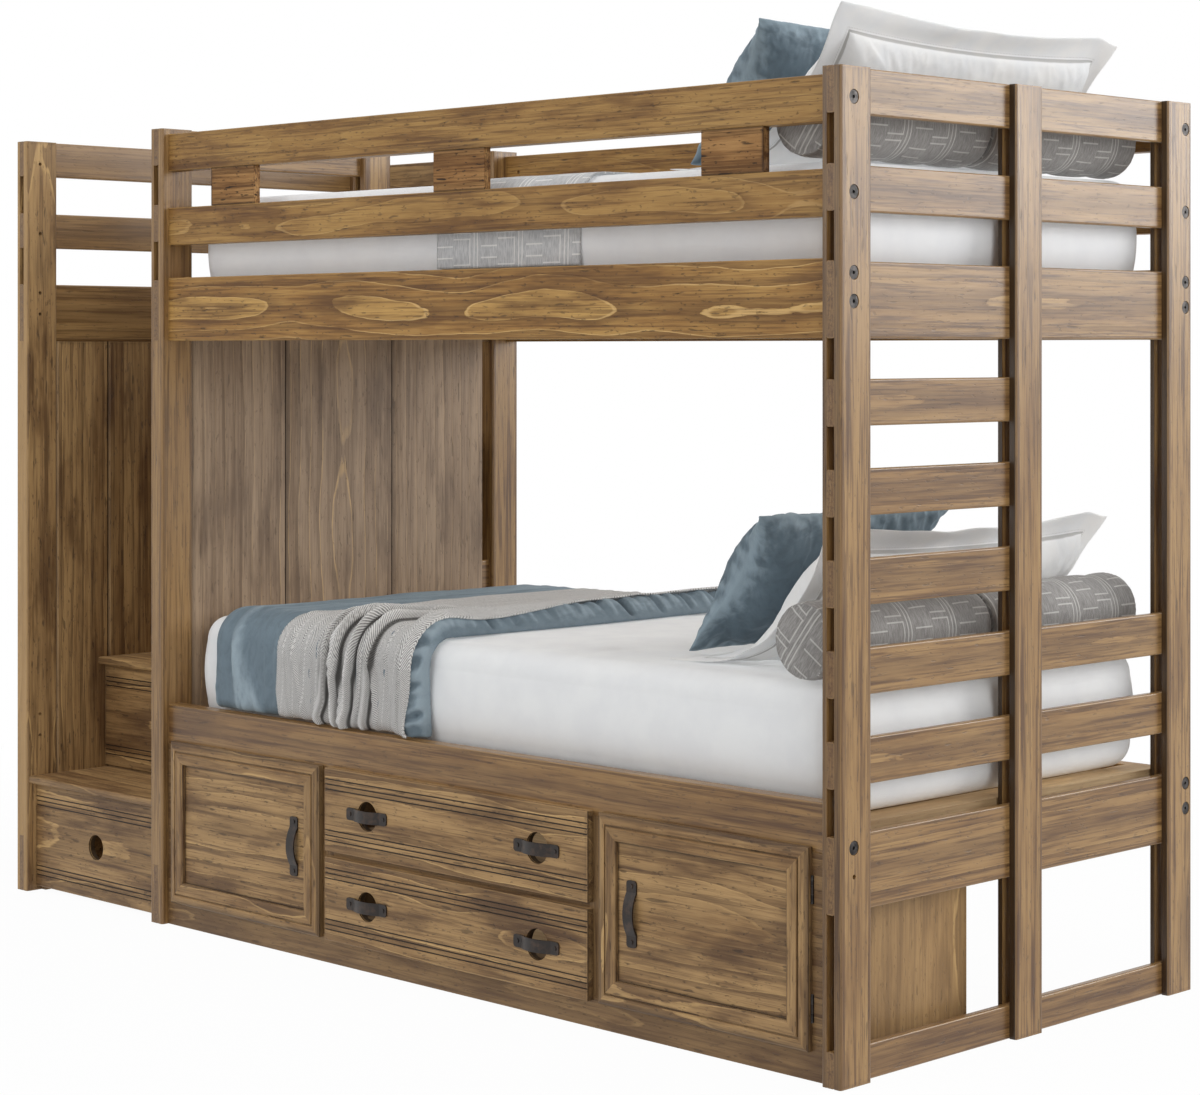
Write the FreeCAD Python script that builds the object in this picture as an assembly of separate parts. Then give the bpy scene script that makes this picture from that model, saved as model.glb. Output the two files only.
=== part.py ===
import FreeCAD, Part
import math
import os

os.makedirs("parts", exist_ok=True)

# Bunk bed with storage stairs. Millimetres, +Z up.
# The pieces are laid out from the outer face of the stair frame (x = 0), the front
# faces of the posts (y = 0) and the floor (z = 0). On export each one is moved so
# that the origin is the middle of the whole footprint, on the floor.

# Overall sizes
bed_length = 2011.0
stair_width = 536.0
bed_depth = 1085.0
post_height = 1772.0

# Posts: two boards with a core between them
inner_board = 12.0
core = 17.0
outer_board = 15.0
post_width = 83.5
post_round = 5.0
post_thick = inner_board + core + outer_board

# Rails of the end frames, held in the core of the posts
rail_height = 82.0
deep_rail_height = 135.0
rail_round = 3.5
second_rail_z = 1520.0
deck_rail_z = 1299.0
base_rail_z = 300.0
ladder_foot_height = 63.0
stair_foot_height = 130.0
first_rung_z = 518.0
rung_pitch = 157.0
rung_count = 5
wide_rung_count = 2
ladder_lane = 418.5
entry_width = 332.5
batten_z = 675.0

# Rails along the bed
side_rail_thick = 38.0
front_setback = 17.0
back_setback = 2.0
side_rail_height = 83.0
side_deck_height = 140.0
top_side_drop = 95.0
second_side_drop = 8.0
board_round = 3.0
block_width = 150.0
block_thick = 17.0
block_left_inset = 157.0
block_right_inset = 150.5
block_count = 3

# Connector bolts and barrel nuts
bolt_radius = 4.0
bolt_clearance = 0.25
head_radius = 12.0
head_thick = 5.0
head_recess = 1.0
counterbore_radius = 13.0
socket_width = 6.0
socket_depth = 3.0
bolt_reach = 60.0
nut_radius = 5.0
nut_length = 24.0
nut_inset = 45.0
nut_clearance = 0.2
thread_clearance = 0.1
deck_bolt_drops = (25.5, 75.5)
front_rail_bolt_rise = 15.0

# Mattress decks
slat_width = 70.0
slat_thick = 20.0
slat_count = 14
slat_end_gap = 2.0
cleat_width = 25.0
cleat_height = 30.0
lower_deck_rise = 44.0
upper_deck_rise = 77.0

# Storage under the bed
rest_gap = 0.4
fronts_z = 52.0
fronts_top = 410.0
left_margin = 24.0
right_margin = 35.0
door_width = 519.0
front_gap = 24.0
drawer_gap = 12.0
overlay = 10.0
face_frame_thick = 20.0
front_rail_height = 89.0
panel_thick = 18.0
thin_panel = 12.0
storage_depth = 445.0

# Door joinery
door_member = 48.0
door_panel_y = 9.0
door_panel_thick = 6.0
panel_groove = 8.0
panel_play = 1.0

# Hinges
hinge_height = 50.0
hinge_inset = 75.0
knuckle_radius = 3.5
knuckle_pocket = 4.0
hinge_pin_radius = 1.75
pin_clearance = 0.05
leaf_thick = 1.5
leaf_width = 30.0
knuckle_gap = 0.3
wrap_depth = 19.0

# Strap handles
strap_length = 125.0
strap_width = 25.0
strap_thick = 3.0
strap_rise = 11.0
strap_pad = 22.0
screw_inset = 10.5
screw_head_radius = 4.5
screw_head_thick = 1.5
screw_radius = 2.0
screw_depth = 4.0
pull_hole_radius = 30.5
pull_inset = 137.5
door_handle_inset = 86.0

# Drawer boxes
drawer_side = 12.0
drawer_bottom = 6.0
drawer_bottom_rise = 10.0
drawer_back_gap = 16.4
drawer_top_gap = 24.0
runner_height = 14.0
bed_drawer_side_gap = 12.5
bed_runner_width = 20.0
step_drawer_top_gap = 39.5
step_drawer_side_gap = 5.0
step_drawer_back_gap = 4.4
step_runner_width = 15.0
groove_width = 3.0
groove_depth = 2.0
bed_grooves = (23.0, 33.5, 44.0)
step_grooves = (27.5, 38.0, 48.5)

# Stairs
step_count = 4
step_rise = 266.0
step_run = 196.0
first_riser_y = 24.0
first_tread_top = 272.0
tread_thick = 17.5
tread_nose = 20.0
tread_round = 6.0
gable_thick = 15.0
step_front_side_gap = 1.0
step_front_top_gap = 3.0
step_front_bottom_gap = 5.0
finger_hole_radius = 29.0

# Wall boards of the stair frames
bed_board_widths = (268.5, 323.0)
bed_board_recess = 31.5
outer_board_widths = (148.5, 256.0, 257.0)
seam_width = 5.0
seam_depth = 8.0
bevel_depth = 3.0
bed_bevel_width = 30.0
outer_bevel_width = 5.0

# Bedding
soft_gap = 0.3
mattress_side_play = 34.0
mattress_thick = 244.0
mattress_corner = 60.0
mattress_end_gap = 14.0
mattress_stair_gap = 25.0
lower_mattress_front_gap = 7.0
upper_mattress_front_gap = 17.0
bolster_radius = 72.0
bolster_gap = 3.0
bolster_back_gap = 42.0
bolster_end_gap = 24.0
bolster_front_gap = 5.0
pillow_front_gap = 95.0
pillow_back_gap = 32.0
cushion_front_gap = 145.0
cushion_width = 595.0
duvet_span = (132.0, 840.0)
throw_span = (364.0, 814.0)
upper_throw_span = (843.0, 1254.0)
duvet_thick = 20.0
throw_thick = 8.0
duvet_side_thick = 22.0
throw_side_thick = 5.0
upper_throw_side_thick = 9.0
front_drop = 195.0
upper_front_drop = 178.0
back_drop = 80.0

# Places worked out from the sizes above
overall_length = stair_width + bed_length
bed_left = stair_width + post_thick
bed_right = overall_length - post_thick
ladder_x = bed_right
back_post_y = bed_depth - post_width
middle_post_y = post_width + ladder_lane
entry_post_y = back_post_y - entry_width - post_width
front_rail_y = front_setback
front_thick = front_setback - rest_gap
hinge_y = front_setback - rest_gap / 2
back_rail_y = bed_depth - back_setback - side_rail_thick
bolt_front_y = front_setback + side_rail_thick / 2
bolt_back_y = back_rail_y + side_rail_thick / 2
top_rail_z = post_height - rail_height
top_side_z = post_height - top_side_drop
second_side_z = second_rail_z - second_side_drop
deck_side_z = deck_rail_z
front_rail_z = fronts_top - overlay
lower_deck_z = front_rail_z + lower_deck_rise
upper_deck_z = deck_side_z + upper_deck_rise
storage_top_z = lower_deck_z - slat_thick - cleat_height - thin_panel
drawer_width = bed_right - bed_left - left_margin - right_margin - 2 * (door_width + front_gap)
front_rail_inner = front_rail_y + side_rail_thick
lower_mattress_y = front_rail_inner + lower_mattress_front_gap
upper_mattress_y = front_rail_inner + upper_mattress_front_gap
mattress_x = bed_left + mattress_stair_gap
mattress_length = bed_right - mattress_end_gap - mattress_x
mattress_width = back_rail_y - front_rail_inner - mattress_side_play
bolster_front_y = front_rail_inner + bolster_front_gap
bolster_length = (back_rail_y - bolster_back_gap - bolster_front_y - bolster_gap) / 2
step_x0 = post_thick
step_x1 = stair_width
strap_projection = strap_rise + strap_thick
screw_offset = strap_length / 2 - screw_inset

pieces = {}


def vec(x, y, z):
    return FreeCAD.Vector(x, y, z)


def box(x0, x1, y0, y1, z0, z1):
    low = vec(min(x0, x1), min(y0, y1), min(z0, z1))
    return Part.makeBox(abs(x1 - x0), abs(y1 - y0), abs(z1 - z0), low)


def edges_along(shape, axis):
    found = []
    for edge in shape.Edges:
        if len(edge.Vertexes) == 2:
            run = edge.Vertexes[1].Point.sub(edge.Vertexes[0].Point)
            if abs(abs(run.normalize().dot(axis)) - 1) < 1e-6:
                found.append(edge)
    return found


def board(x0, x1, y0, y1, z0, z1, radius=board_round):
    # a board with its four long edges eased
    shape = box(x0, x1, y0, y1, z0, z1)
    sizes = (abs(x1 - x0), abs(y1 - y0), abs(z1 - z0))
    axes = (vec(1, 0, 0), vec(0, 1, 0), vec(0, 0, 1))
    long_axis = axes[sizes.index(max(sizes))]
    return shape.makeFillet(radius, edges_along(shape, long_axis))


def rod(radius, length, start, axis):
    return Part.makeCylinder(radius, length, start, axis)


def prism(points, run):
    # a flat outline of straight sides, pushed along run
    face = Part.Face(Part.makePolygon([*points, points[0]]))
    return face.extrude(run)


def cut_all(shape, tools):
    for tool in tools:
        shape = shape.cut(tool)
    return shape


def keep(name, solids):
    pieces[name] = solids


# ---- Bolts ----

class Bolt:
    # one connector bolt: through an end frame into the end of a rail

    def __init__(self, face_x, way, y, z, into_front):
        self.face_x = face_x
        self.way = way
        self.y = y
        self.z = z
        self.into_front = into_front

    def start(self, depth):
        return vec(self.face_x + self.way * depth, self.y, self.z)

    def axis(self):
        return vec(self.way, 0, 0)

    def hole(self):
        length = post_thick + bolt_reach
        shank = rod(bolt_radius + bolt_clearance, length, self.start(0), self.axis())
        seat_depth = head_thick + head_recess
        seat = rod(counterbore_radius, seat_depth, self.start(0), self.axis())
        return shank.fuse(seat)

    def solid(self):
        head = rod(head_radius, head_thick, self.start(head_recess), self.axis())
        length = post_thick + bolt_reach - head_recess - 1.0
        shank = rod(bolt_radius, length, self.start(head_recess), self.axis())
        reach = socket_width / 2 / math.cos(math.pi / 6)
        corners = []
        for turn in range(6):
            angle = turn * math.pi / 3
            across = reach * math.cos(angle)
            up = reach * math.sin(angle)
            corners.append(self.start(head_recess).add(vec(0, across, up)))
        socket = prism(corners, self.axis().multiply(socket_depth))
        return head.fuse(shank).cut(socket)

    def nut_start(self):
        depth = post_thick + nut_inset
        point = self.start(depth)
        point.y = self.y - nut_length / 2
        return point

    def nut_pocket(self):
        # open on the inner side of the rail
        start = self.nut_start()
        radius = nut_radius + nut_clearance
        reach = side_rail_thick
        if self.into_front:
            return rod(radius, reach, start, vec(0, 1, 0))
        start.y = self.y + nut_length / 2
        return rod(radius, reach, start, vec(0, -1, 0))

    def nut(self):
        body = rod(nut_radius, nut_length, self.nut_start(), vec(0, 1, 0))
        thread_start = self.start(post_thick + nut_inset - nut_radius)
        thread = rod(bolt_radius + thread_clearance, 2 * nut_radius, thread_start, self.axis())
        return body.cut(thread)


def upper_bolt_heights():
    heights = [top_side_z + side_rail_height / 2, second_side_z + side_rail_height / 2]
    for drop in deck_bolt_drops:
        heights.append(deck_side_z + side_deck_height - drop)
    return heights


def lower_back_bolt_heights():
    top = base_rail_z + side_deck_height
    return [top - drop for drop in deck_bolt_drops]


def lower_front_bolt_height():
    return front_rail_z + front_rail_bolt_rise


def frame_bolts(face_x, way):
    bolts = []
    for z in [*upper_bolt_heights(), lower_front_bolt_height()]:
        bolts.append(Bolt(face_x, way, bolt_front_y, z, True))
    for z in [*upper_bolt_heights(), *lower_back_bolt_heights()]:
        bolts.append(Bolt(face_x, way, bolt_back_y, z, False))
    return bolts


ladder_bolts = frame_bolts(overall_length, -1)
stair_side_bolts = frame_bolts(stair_width, 1)
outer_bolts = [Bolt(0.0, 1, bolt_back_y, z, False) for z in upper_bolt_heights()]
all_bolts = [*ladder_bolts, *stair_side_bolts, *outer_bolts]


def spare_holes(x0):
    # the unused lower hole of the ladder post and the empty holes of the outer post
    z = front_rail_z + front_rail_bolt_rise - deck_bolt_drops[1] + deck_bolt_drops[0]
    radius = bolt_radius + bolt_clearance
    return rod(radius, post_thick, vec(x0, bolt_front_y, z), vec(1, 0, 0))


def outer_spare_holes():
    radius = bolt_radius + bolt_clearance
    heights = [*upper_bolt_heights(), lower_front_bolt_height()]
    holes = [rod(radius, post_thick, vec(0, bolt_front_y, z), vec(1, 0, 0)) for z in heights]
    return [*holes, spare_holes(0.0)]


def bolt_holes(bolts):
    return [bolt.hole() for bolt in bolts]


def make_fasteners():
    keep("connector_bolts", [bolt.solid() for bolt in all_bolts])
    keep("barrel_nuts", [bolt.nut() for bolt in all_bolts])


# ---- End frames ----

def post(x0, y0, z0, slots, holes):
    # the core is left out over each slot, where the rails run through
    shape = box(x0, x0 + post_thick, y0, y0 + post_width, z0, post_height)
    shape = shape.makeFillet(post_round, edges_along(shape, vec(0, 0, 1)))
    slot_x = x0 + inner_board
    for low, high in slots:
        shape = shape.cut(box(slot_x, slot_x + core, y0, y0 + post_width, low, high))
    return cut_all(shape, holes).Solids


def core_rail(x0, y0, y1, z, height, holes=()):
    slot_x = x0 + inner_board
    rail = board(slot_x, slot_x + core, y0, y1, z, z + height, rail_round)
    return cut_all(rail, holes)


def make_ladder_end():
    holes = [*bolt_holes(ladder_bolts), spare_holes(ladder_x)]
    whole = [(0.0, post_height)]
    keep("ladder_front_post", post(ladder_x, 0.0, 0.0, whole, holes))
    keep("ladder_middle_post", post(ladder_x, middle_post_y, 0.0, whole, []))
    keep("ladder_back_post", post(ladder_x, back_post_y, 0.0, whole, holes))
    guard = [core_rail(ladder_x, 0.0, bed_depth, z, rail_height, holes) for z in (top_rail_z, second_rail_z)]
    keep("end_guard_rails", guard)
    levels = (deck_rail_z, base_rail_z)
    deep = [core_rail(ladder_x, 0.0, bed_depth, z, deep_rail_height, holes) for z in levels]
    keep("end_deep_rails", deep)
    lane_end = middle_post_y + post_width
    rungs = []
    for step in range(rung_count):
        z = first_rung_z + step * rung_pitch
        reach = bed_depth if step < wide_rung_count else lane_end
        rungs.append(core_rail(ladder_x, 0.0, reach, z, rail_height))
    keep("ladder_rungs", rungs)
    keep("end_foot_rail", [core_rail(ladder_x, 0.0, bed_depth, 0.0, ladder_foot_height)])


def wall_board(x0, y0, y1, z1, bevel_width):
    # a plank with a shallow bevel on its front edge and a groove at its back edge
    face = x0 + outer_board
    points = [
        vec(x0, y0, 0),
        vec(face - bevel_depth, y0, 0),
        vec(face, y0 + bevel_width, 0),
        vec(face, y1 - seam_width, 0),
        vec(face - seam_depth, y1 - seam_width, 0),
        vec(face - seam_depth, y1, 0),
        vec(x0, y1, 0),
    ]
    return prism(points, vec(0, 0, z1))


def wall_boards(x0, widths, y1, z1, bevel_width):
    # boards of the given widths, and a last one that ends at y1
    boards = []
    start = post_width
    for width in widths:
        boards.append(wall_board(x0, start, start + width, z1, bevel_width))
        start += width
    return [*boards, wall_board(x0, start, y1, z1, bevel_width)]


def stair_post_slots():
    return [(0.0, stair_foot_height), (deck_rail_z, post_height)]


def make_bed_stair_frame():
    x0 = stair_width
    holes = bolt_holes(stair_side_bolts)
    keep("bed_stair_front_post", post(x0, 0.0, 0.0, stair_post_slots(), holes))
    keep("bed_stair_back_post", post(x0, back_post_y, 0.0, stair_post_slots(), holes))
    short = Part.makeCompound(post(x0, entry_post_y, deck_rail_z, [(deck_rail_z, post_height)], []))
    board_top = deck_rail_z + deep_rail_height
    face_x = x0 + inner_board + core
    entry_end = entry_post_y + post_width
    behind_boards = box(face_x, x0 + post_thick, entry_post_y, entry_end, 0, board_top)
    keep("entry_post", short.cut(behind_boards).Solids)
    rails = [core_rail(x0, 0.0, entry_end, z, rail_height, holes) for z in (top_rail_z, second_rail_z)]
    rails.append(core_rail(x0, 0.0, bed_depth, deck_rail_z, deep_rail_height, holes))
    rails.append(core_rail(x0, post_width, back_post_y, batten_z, rail_height))
    rails.append(core_rail(x0, 0.0, bed_depth, 0.0, stair_foot_height))
    keep("bed_stair_rails", rails)
    last = back_post_y - bed_board_recess
    keep("bed_wall_boards", wall_boards(face_x, bed_board_widths, last, board_top, bed_bevel_width))


def make_stair_outer_frame():
    back_holes = bolt_holes(outer_bolts)
    keep("outer_front_post", post(0.0, 0.0, 0.0, stair_post_slots(), outer_spare_holes()))
    keep("outer_back_post", post(0.0, back_post_y, 0.0, stair_post_slots(), back_holes))
    holes = [*back_holes, *outer_spare_holes()]
    rails = [core_rail(0.0, 0.0, bed_depth, z, rail_height, holes) for z in (top_rail_z, second_rail_z)]
    rails.append(core_rail(0.0, 0.0, bed_depth, deck_rail_z, deep_rail_height, holes))
    for z in (batten_z, deck_rail_z - rail_height):
        rails.append(core_rail(0.0, post_width, back_post_y, z, rail_height))
    rails.append(core_rail(0.0, 0.0, bed_depth, 0.0, stair_foot_height))
    keep("outer_stair_rails", rails)
    boards = wall_boards(inner_board + core, outer_board_widths, back_post_y, deck_rail_z, outer_bevel_width)
    keep("outer_wall_boards", boards)


# ---- Rails along the bed ----

def side_rail(x0, x1, y0, z, height, bolts):
    rail = board(x0, x1, y0, y0 + side_rail_thick, z, z + height)
    for bolt in bolts:
        if z < bolt.z < z + height:
            rail = rail.cut(bolt.hole()).cut(bolt.nut_pocket())
    return rail


def bolts_at(bolts, y):
    return [bolt for bolt in bolts if bolt.y == y]


def make_side_rails():
    bed_bolts = [*ladder_bolts, *stair_side_bolts]
    front = bolts_at(bed_bolts, bolt_front_y)
    back = bolts_at(bed_bolts, bolt_back_y)
    names = ("upper_top_rail", "upper_second_rail", "upper_deck_rail")
    levels = [
        (top_side_z, side_rail_height),
        (second_side_z, side_rail_height),
        (deck_side_z, side_deck_height),
    ]
    for name, (z, height) in zip(names, levels):
        keep(name, [side_rail(bed_left, bed_right, front_rail_y, z, height, front)])
    low = side_rail(bed_left, bed_right, front_rail_y, front_rail_z, front_rail_height, front)
    keep("lower_front_rail", [low])
    back_rails = [side_rail(bed_left, bed_right, back_rail_y, z, height, back) for z, height in levels]
    back_rails.append(side_rail(bed_left, bed_right, back_rail_y, base_rail_z, side_deck_height, back))
    keep("bed_back_rails", back_rails)
    outer = bolts_at(outer_bolts, bolt_back_y)
    stair_rails = [side_rail(post_thick, stair_width, back_rail_y, z, height, outer) for z, height in levels]
    keep("stair_back_rails", stair_rails)
    low = second_side_z + side_rail_height
    first = bed_left + block_left_inset
    pitch = (bed_right - block_right_inset - block_width - first) / (block_count - 1)
    blocks = []
    for number in range(block_count):
        x = first + number * pitch
        blocks.append(box(x, x + block_width, front_rail_y, front_rail_y + block_thick, low, top_side_z))
    keep("guard_spacer_blocks", blocks)


def make_decks():
    cleats = []
    slats = []
    low_y = front_rail_inner
    high_y = back_rail_y
    for deck in (lower_deck_z, upper_deck_z):
        top = deck - slat_thick
        cleats.append(box(bed_left, bed_right, low_y, low_y + cleat_width, top - cleat_height, top))
        cleats.append(box(bed_left, bed_right, high_y - cleat_width, high_y, top - cleat_height, top))
        first = bed_left + slat_end_gap
        pitch = (bed_right - slat_end_gap - slat_width - first) / (slat_count - 1)
        for number in range(slat_count):
            x = first + number * pitch
            slats.append(box(x, x + slat_width, low_y + slat_end_gap, high_y - slat_end_gap, top, deck))
    keep("slat_cleats", cleats)
    keep("mattress_slats", slats)


# ---- Storage under the bed ----

left_door_x0 = bed_left + left_margin
left_door_x1 = left_door_x0 + door_width
drawer_x0 = left_door_x1 + front_gap
drawer_x1 = drawer_x0 + drawer_width
right_door_x0 = drawer_x1 + front_gap
right_door_x1 = right_door_x0 + door_width
drawer_opening = (drawer_x0 + overlay, drawer_x1 - overlay)
bed_drawer_front_height = (fronts_top - fronts_z - drawer_gap) / 2
bed_drawer_levels = (fronts_z, fronts_z + bed_drawer_front_height + drawer_gap)
frame_bottom_z = fronts_z + overlay
frame_y1 = front_setback + face_frame_thick


def make_face_frame():
    y0 = front_setback
    spans = [
        (bed_left, left_door_x0 + overlay),
        (left_door_x1 - overlay, drawer_opening[0]),
        (drawer_opening[1], right_door_x0 + overlay),
        (right_door_x1 - overlay, bed_right),
    ]
    solids = [box(x0, x1, y0, frame_y1, frame_bottom_z, front_rail_z) for x0, x1 in spans]
    cuts = hinge_frame_cuts()
    solids[0] = cut_all(solids[0], cuts)
    solids[-1] = cut_all(solids[-1], cuts)
    solids.append(box(bed_left, bed_right, y0, frame_y1, 0.0, frame_bottom_z))
    mid_low = bed_drawer_levels[0] + bed_drawer_front_height - overlay
    mid_high = bed_drawer_levels[1] + overlay
    solids.append(box(*drawer_opening, y0, frame_y1, mid_low, mid_high))
    keep("storage_face_frame", solids)


def make_storage_carcass():
    x_left = left_door_x0 + overlay - panel_thick
    x_right = right_door_x1 - overlay + panel_thick
    y1 = storage_depth - thin_panel
    starts = [x_left, drawer_opening[0] - panel_thick, drawer_opening[1], x_right - panel_thick]
    panels = [box(x, x + panel_thick, frame_y1, y1, 0.0, storage_top_z) for x in starts]
    floors = []
    for left, right in zip(starts[:-1], starts[1:]):
        low = frame_bottom_z - thin_panel
        floors.append(box(left + panel_thick, right, frame_y1, y1, low, frame_bottom_z))
    back = box(x_left, x_right, y1, storage_depth, 0.0, storage_top_z)
    lid = box(x_left, x_right, frame_y1, storage_depth, storage_top_z, storage_top_z + thin_panel)
    keep("storage_carcass", [*panels, *floors, back, lid])


def bed_drawer_runners():
    y1 = storage_depth - thin_panel
    runners = []
    for front_z in bed_drawer_levels:
        z = front_z + overlay
        ends = [
            (drawer_opening[0], drawer_opening[0] + bed_runner_width),
            (drawer_opening[1] - bed_runner_width, drawer_opening[1]),
        ]
        for x0, x1 in ends:
            runners.append(box(x0, x1, frame_y1, y1, z, z + runner_height))
    return runners


# ---- Strap handles ----

def strap(centre, upright):
    # a bowed strap on a face that looks towards -Y
    half = strap_length / 2
    bow = half - strap_pad
    rise = -strap_rise
    top = -strap_thick

    def at(along, out):
        if upright:
            return vec(centre.x - strap_width / 2, centre.y + out, centre.z + along)
        return vec(centre.x + along, centre.y + out, centre.z - strap_width / 2)

    edges = [
        Part.LineSegment(at(-half, 0), at(-half, top)).toShape(),
        Part.LineSegment(at(-half, top), at(-bow, top)).toShape(),
        Part.Arc(at(-bow, top), at(0, rise + top), at(bow, top)).toShape(),
        Part.LineSegment(at(bow, top), at(half, top)).toShape(),
        Part.LineSegment(at(half, top), at(half, 0)).toShape(),
        Part.LineSegment(at(half, 0), at(bow + top, 0)).toShape(),
        Part.Arc(at(bow + top, 0), at(0, rise), at(-bow - top, 0)).toShape(),
        Part.LineSegment(at(-bow - top, 0), at(-half, 0)).toShape(),
    ]
    face = Part.Face(Part.Wire(edges))
    width_run = vec(strap_width, 0, 0) if upright else vec(0, 0, strap_width)
    solid = face.extrude(width_run)
    corners = [edge for edge in edges_along(solid, vec(0, 1, 0)) if edge.Length < strap_thick + 0.01]
    return solid.makeFillet(strap_width / 4, corners)


def screw_points(centre, upright):
    points = []
    for side in (-1, 1):
        shift = side * screw_offset
        points.append(centre.add(vec(0, 0, shift) if upright else vec(shift, 0, 0)))
    return points


def screw_bores(centre, upright):
    bores = []
    for point in screw_points(centre, upright):
        start = point.add(vec(0, -strap_thick, 0))
        bores.append(rod(screw_radius, strap_thick + screw_depth, start, vec(0, 1, 0)))
    return bores


def handle_set(centre, upright):
    band = cut_all(strap(centre, upright), screw_bores(centre, upright))
    solids = [band]
    for point in screw_points(centre, upright):
        start = point.add(vec(0, -strap_thick, 0))
        shank = rod(screw_radius, strap_thick + screw_depth, start, vec(0, 1, 0))
        head_start = start.add(vec(0, -screw_head_thick, 0))
        head = rod(screw_head_radius, screw_head_thick, head_start, vec(0, 1, 0))
        solids.append(head.fuse(shank))
    return solids


# ---- Doors ----

hinge_bottoms = (
    fronts_z + hinge_inset - hinge_height / 2,
    fronts_top - hinge_inset - hinge_height / 2,
)


def hinge_frame_cuts():
    # pockets for the knuckles and the fixed leaves, at both doors
    cuts = []
    for x, side in ((left_door_x0, 1), (right_door_x1, -1)):
        for z in hinge_bottoms:
            cuts.append(rod(knuckle_pocket, hinge_height, vec(x, hinge_y, z), vec(0, 0, 1)))
            y1 = front_setback + leaf_thick
            reach = x + side * overlay
            cuts.append(box(x, reach, front_setback, y1, z, z + hinge_height))
    return cuts


def door_profile():
    # from the outer edge inwards, with y back from the front face
    w = door_member
    y = door_panel_y
    return [
        (0.0, front_thick),
        (0.0, 6.0),
        (4.0, 3.0),
        (13.0, 1.0),
        (19.0, 1.0),
        (20.0, 4.0),
        (22.5, 4.0),
        (24.0, 0.0),
        (w - 4.0, 0.0),
        (w, 3.0),
        (w, y),
        (w - panel_groove, y),
        (w - panel_groove, y + door_panel_thick),
        (w, y + door_panel_thick),
        (w, front_thick),
    ]


def mitre_prism(corner_a, corner_b, inner_a, inner_b):
    points = [vec(x, 0, z) for x, z in (corner_a, corner_b, inner_b, inner_a)]
    return prism(points, vec(0, front_thick, 0))


def door_frame(x0, x1):
    z0 = fronts_z
    z1 = fronts_top
    w = door_member
    profile = door_profile()
    outer = [(x0, z0), (x1, z0), (x1, z1), (x0, z1)]
    inner = [(x0 + w, z0 + w), (x1 - w, z0 + w), (x1 - w, z1 - w), (x0 + w, z1 - w)]
    height = vec(0, 0, z1 - z0)
    width = vec(x1 - x0, 0, 0)
    bars = [
        prism([vec(x0, y, z0 + d) for d, y in profile], width),
        prism([vec(x1 - d, y, z0) for d, y in profile], height),
        prism([vec(x0, y, z1 - d) for d, y in profile], width),
        prism([vec(x0 + d, y, z0) for d, y in profile], height),
    ]
    members = []
    for number, bar in enumerate(bars):
        after = (number + 1) % 4
        wedge = mitre_prism(outer[number], outer[after], inner[number], inner[after])
        members.append(bar.common(wedge).Solids[0])
    return members


def make_door(name, x0, x1, hinge_x, side, handle_x):
    members = door_frame(x0, x1)
    cuts = []
    leaves = []
    third = hinge_height / 3
    for z in hinge_bottoms:
        start = vec(hinge_x, hinge_y, z)
        cuts.append(rod(knuckle_pocket, hinge_height, start, vec(0, 0, 1)))
        y0 = front_thick - leaf_thick
        far = hinge_x + side * leaf_width
        cuts.append(box(hinge_x, far, y0, front_thick, z, z + hinge_height))
        near = hinge_x + side * knuckle_pocket
        leaf = box(near, far, y0, front_thick, z, z + hinge_height)
        middle = z + third + knuckle_gap
        tall = third - 2 * knuckle_gap
        tab = box(hinge_x, near, y0, front_thick, middle, middle + tall)
        barrel = rod(knuckle_radius, tall, vec(hinge_x, hinge_y, middle), vec(0, 0, 1))
        bore = rod(hinge_pin_radius + pin_clearance, hinge_height, start, vec(0, 0, 1))
        leaves.append(leaf.fuse(tab).fuse(barrel).cut(bore).removeSplitter())
    keep(name + "_frame", [cut_all(member, cuts) for member in members])
    inset = door_member - panel_groove + panel_play
    y = door_panel_y
    centre = vec(handle_x, y, (fronts_z + fronts_top) / 2)
    panel = box(x0 + inset, x1 - inset, y, y + door_panel_thick, fronts_z + inset, fronts_top - inset)
    keep(name + "_panel", [cut_all(panel, screw_bores(centre, True))])
    keep(name + "_hardware", [*handle_set(centre, True), *leaves])


def make_hinge_frame_leaves():
    solids = []
    third = hinge_height / 3
    for x, side in ((left_door_x0, 1), (right_door_x1, -1)):
        for z in hinge_bottoms:
            y0 = front_setback
            near = x + side * knuckle_pocket
            corner = x + side * overlay
            far = corner + side * leaf_thick
            leaf = box(near, far, y0, y0 + leaf_thick, z, z + hinge_height)
            leaf = leaf.fuse(box(corner, far, y0, y0 + wrap_depth, z, z + hinge_height))
            start = vec(x, hinge_y, z)
            for low in (z, z + 2 * third):
                leaf = leaf.fuse(box(x, near, y0, y0 + leaf_thick, low, low + third))
                barrel = rod(knuckle_radius, third, vec(x, hinge_y, low), vec(0, 0, 1))
                leaf = leaf.fuse(barrel)
            leaf = leaf.cut(rod(hinge_pin_radius + pin_clearance, hinge_height, start, vec(0, 0, 1)))
            solids.append(leaf.removeSplitter())
            solids.append(rod(hinge_pin_radius, hinge_height, start, vec(0, 0, 1)))
    keep("hinge_frame_leaves", solids)


# ---- Drawers ----

def grooved_front(x0, x1, y0, z0, z1, offsets):
    front = box(x0, x1, y0, y0 + front_thick, z0, z1)
    front = front.makeFillet(2.0, [edge for edge in front.Edges if edge.BoundBox.YMax < y0 + 0.01])
    centres = [z0 + offset for offset in offsets] + [z1 - offset for offset in offsets]
    for z in centres:
        low = z - groove_width / 2
        front = front.cut(box(x0, x1, y0, y0 + groove_depth, low, low + groove_width))
    return front


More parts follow.
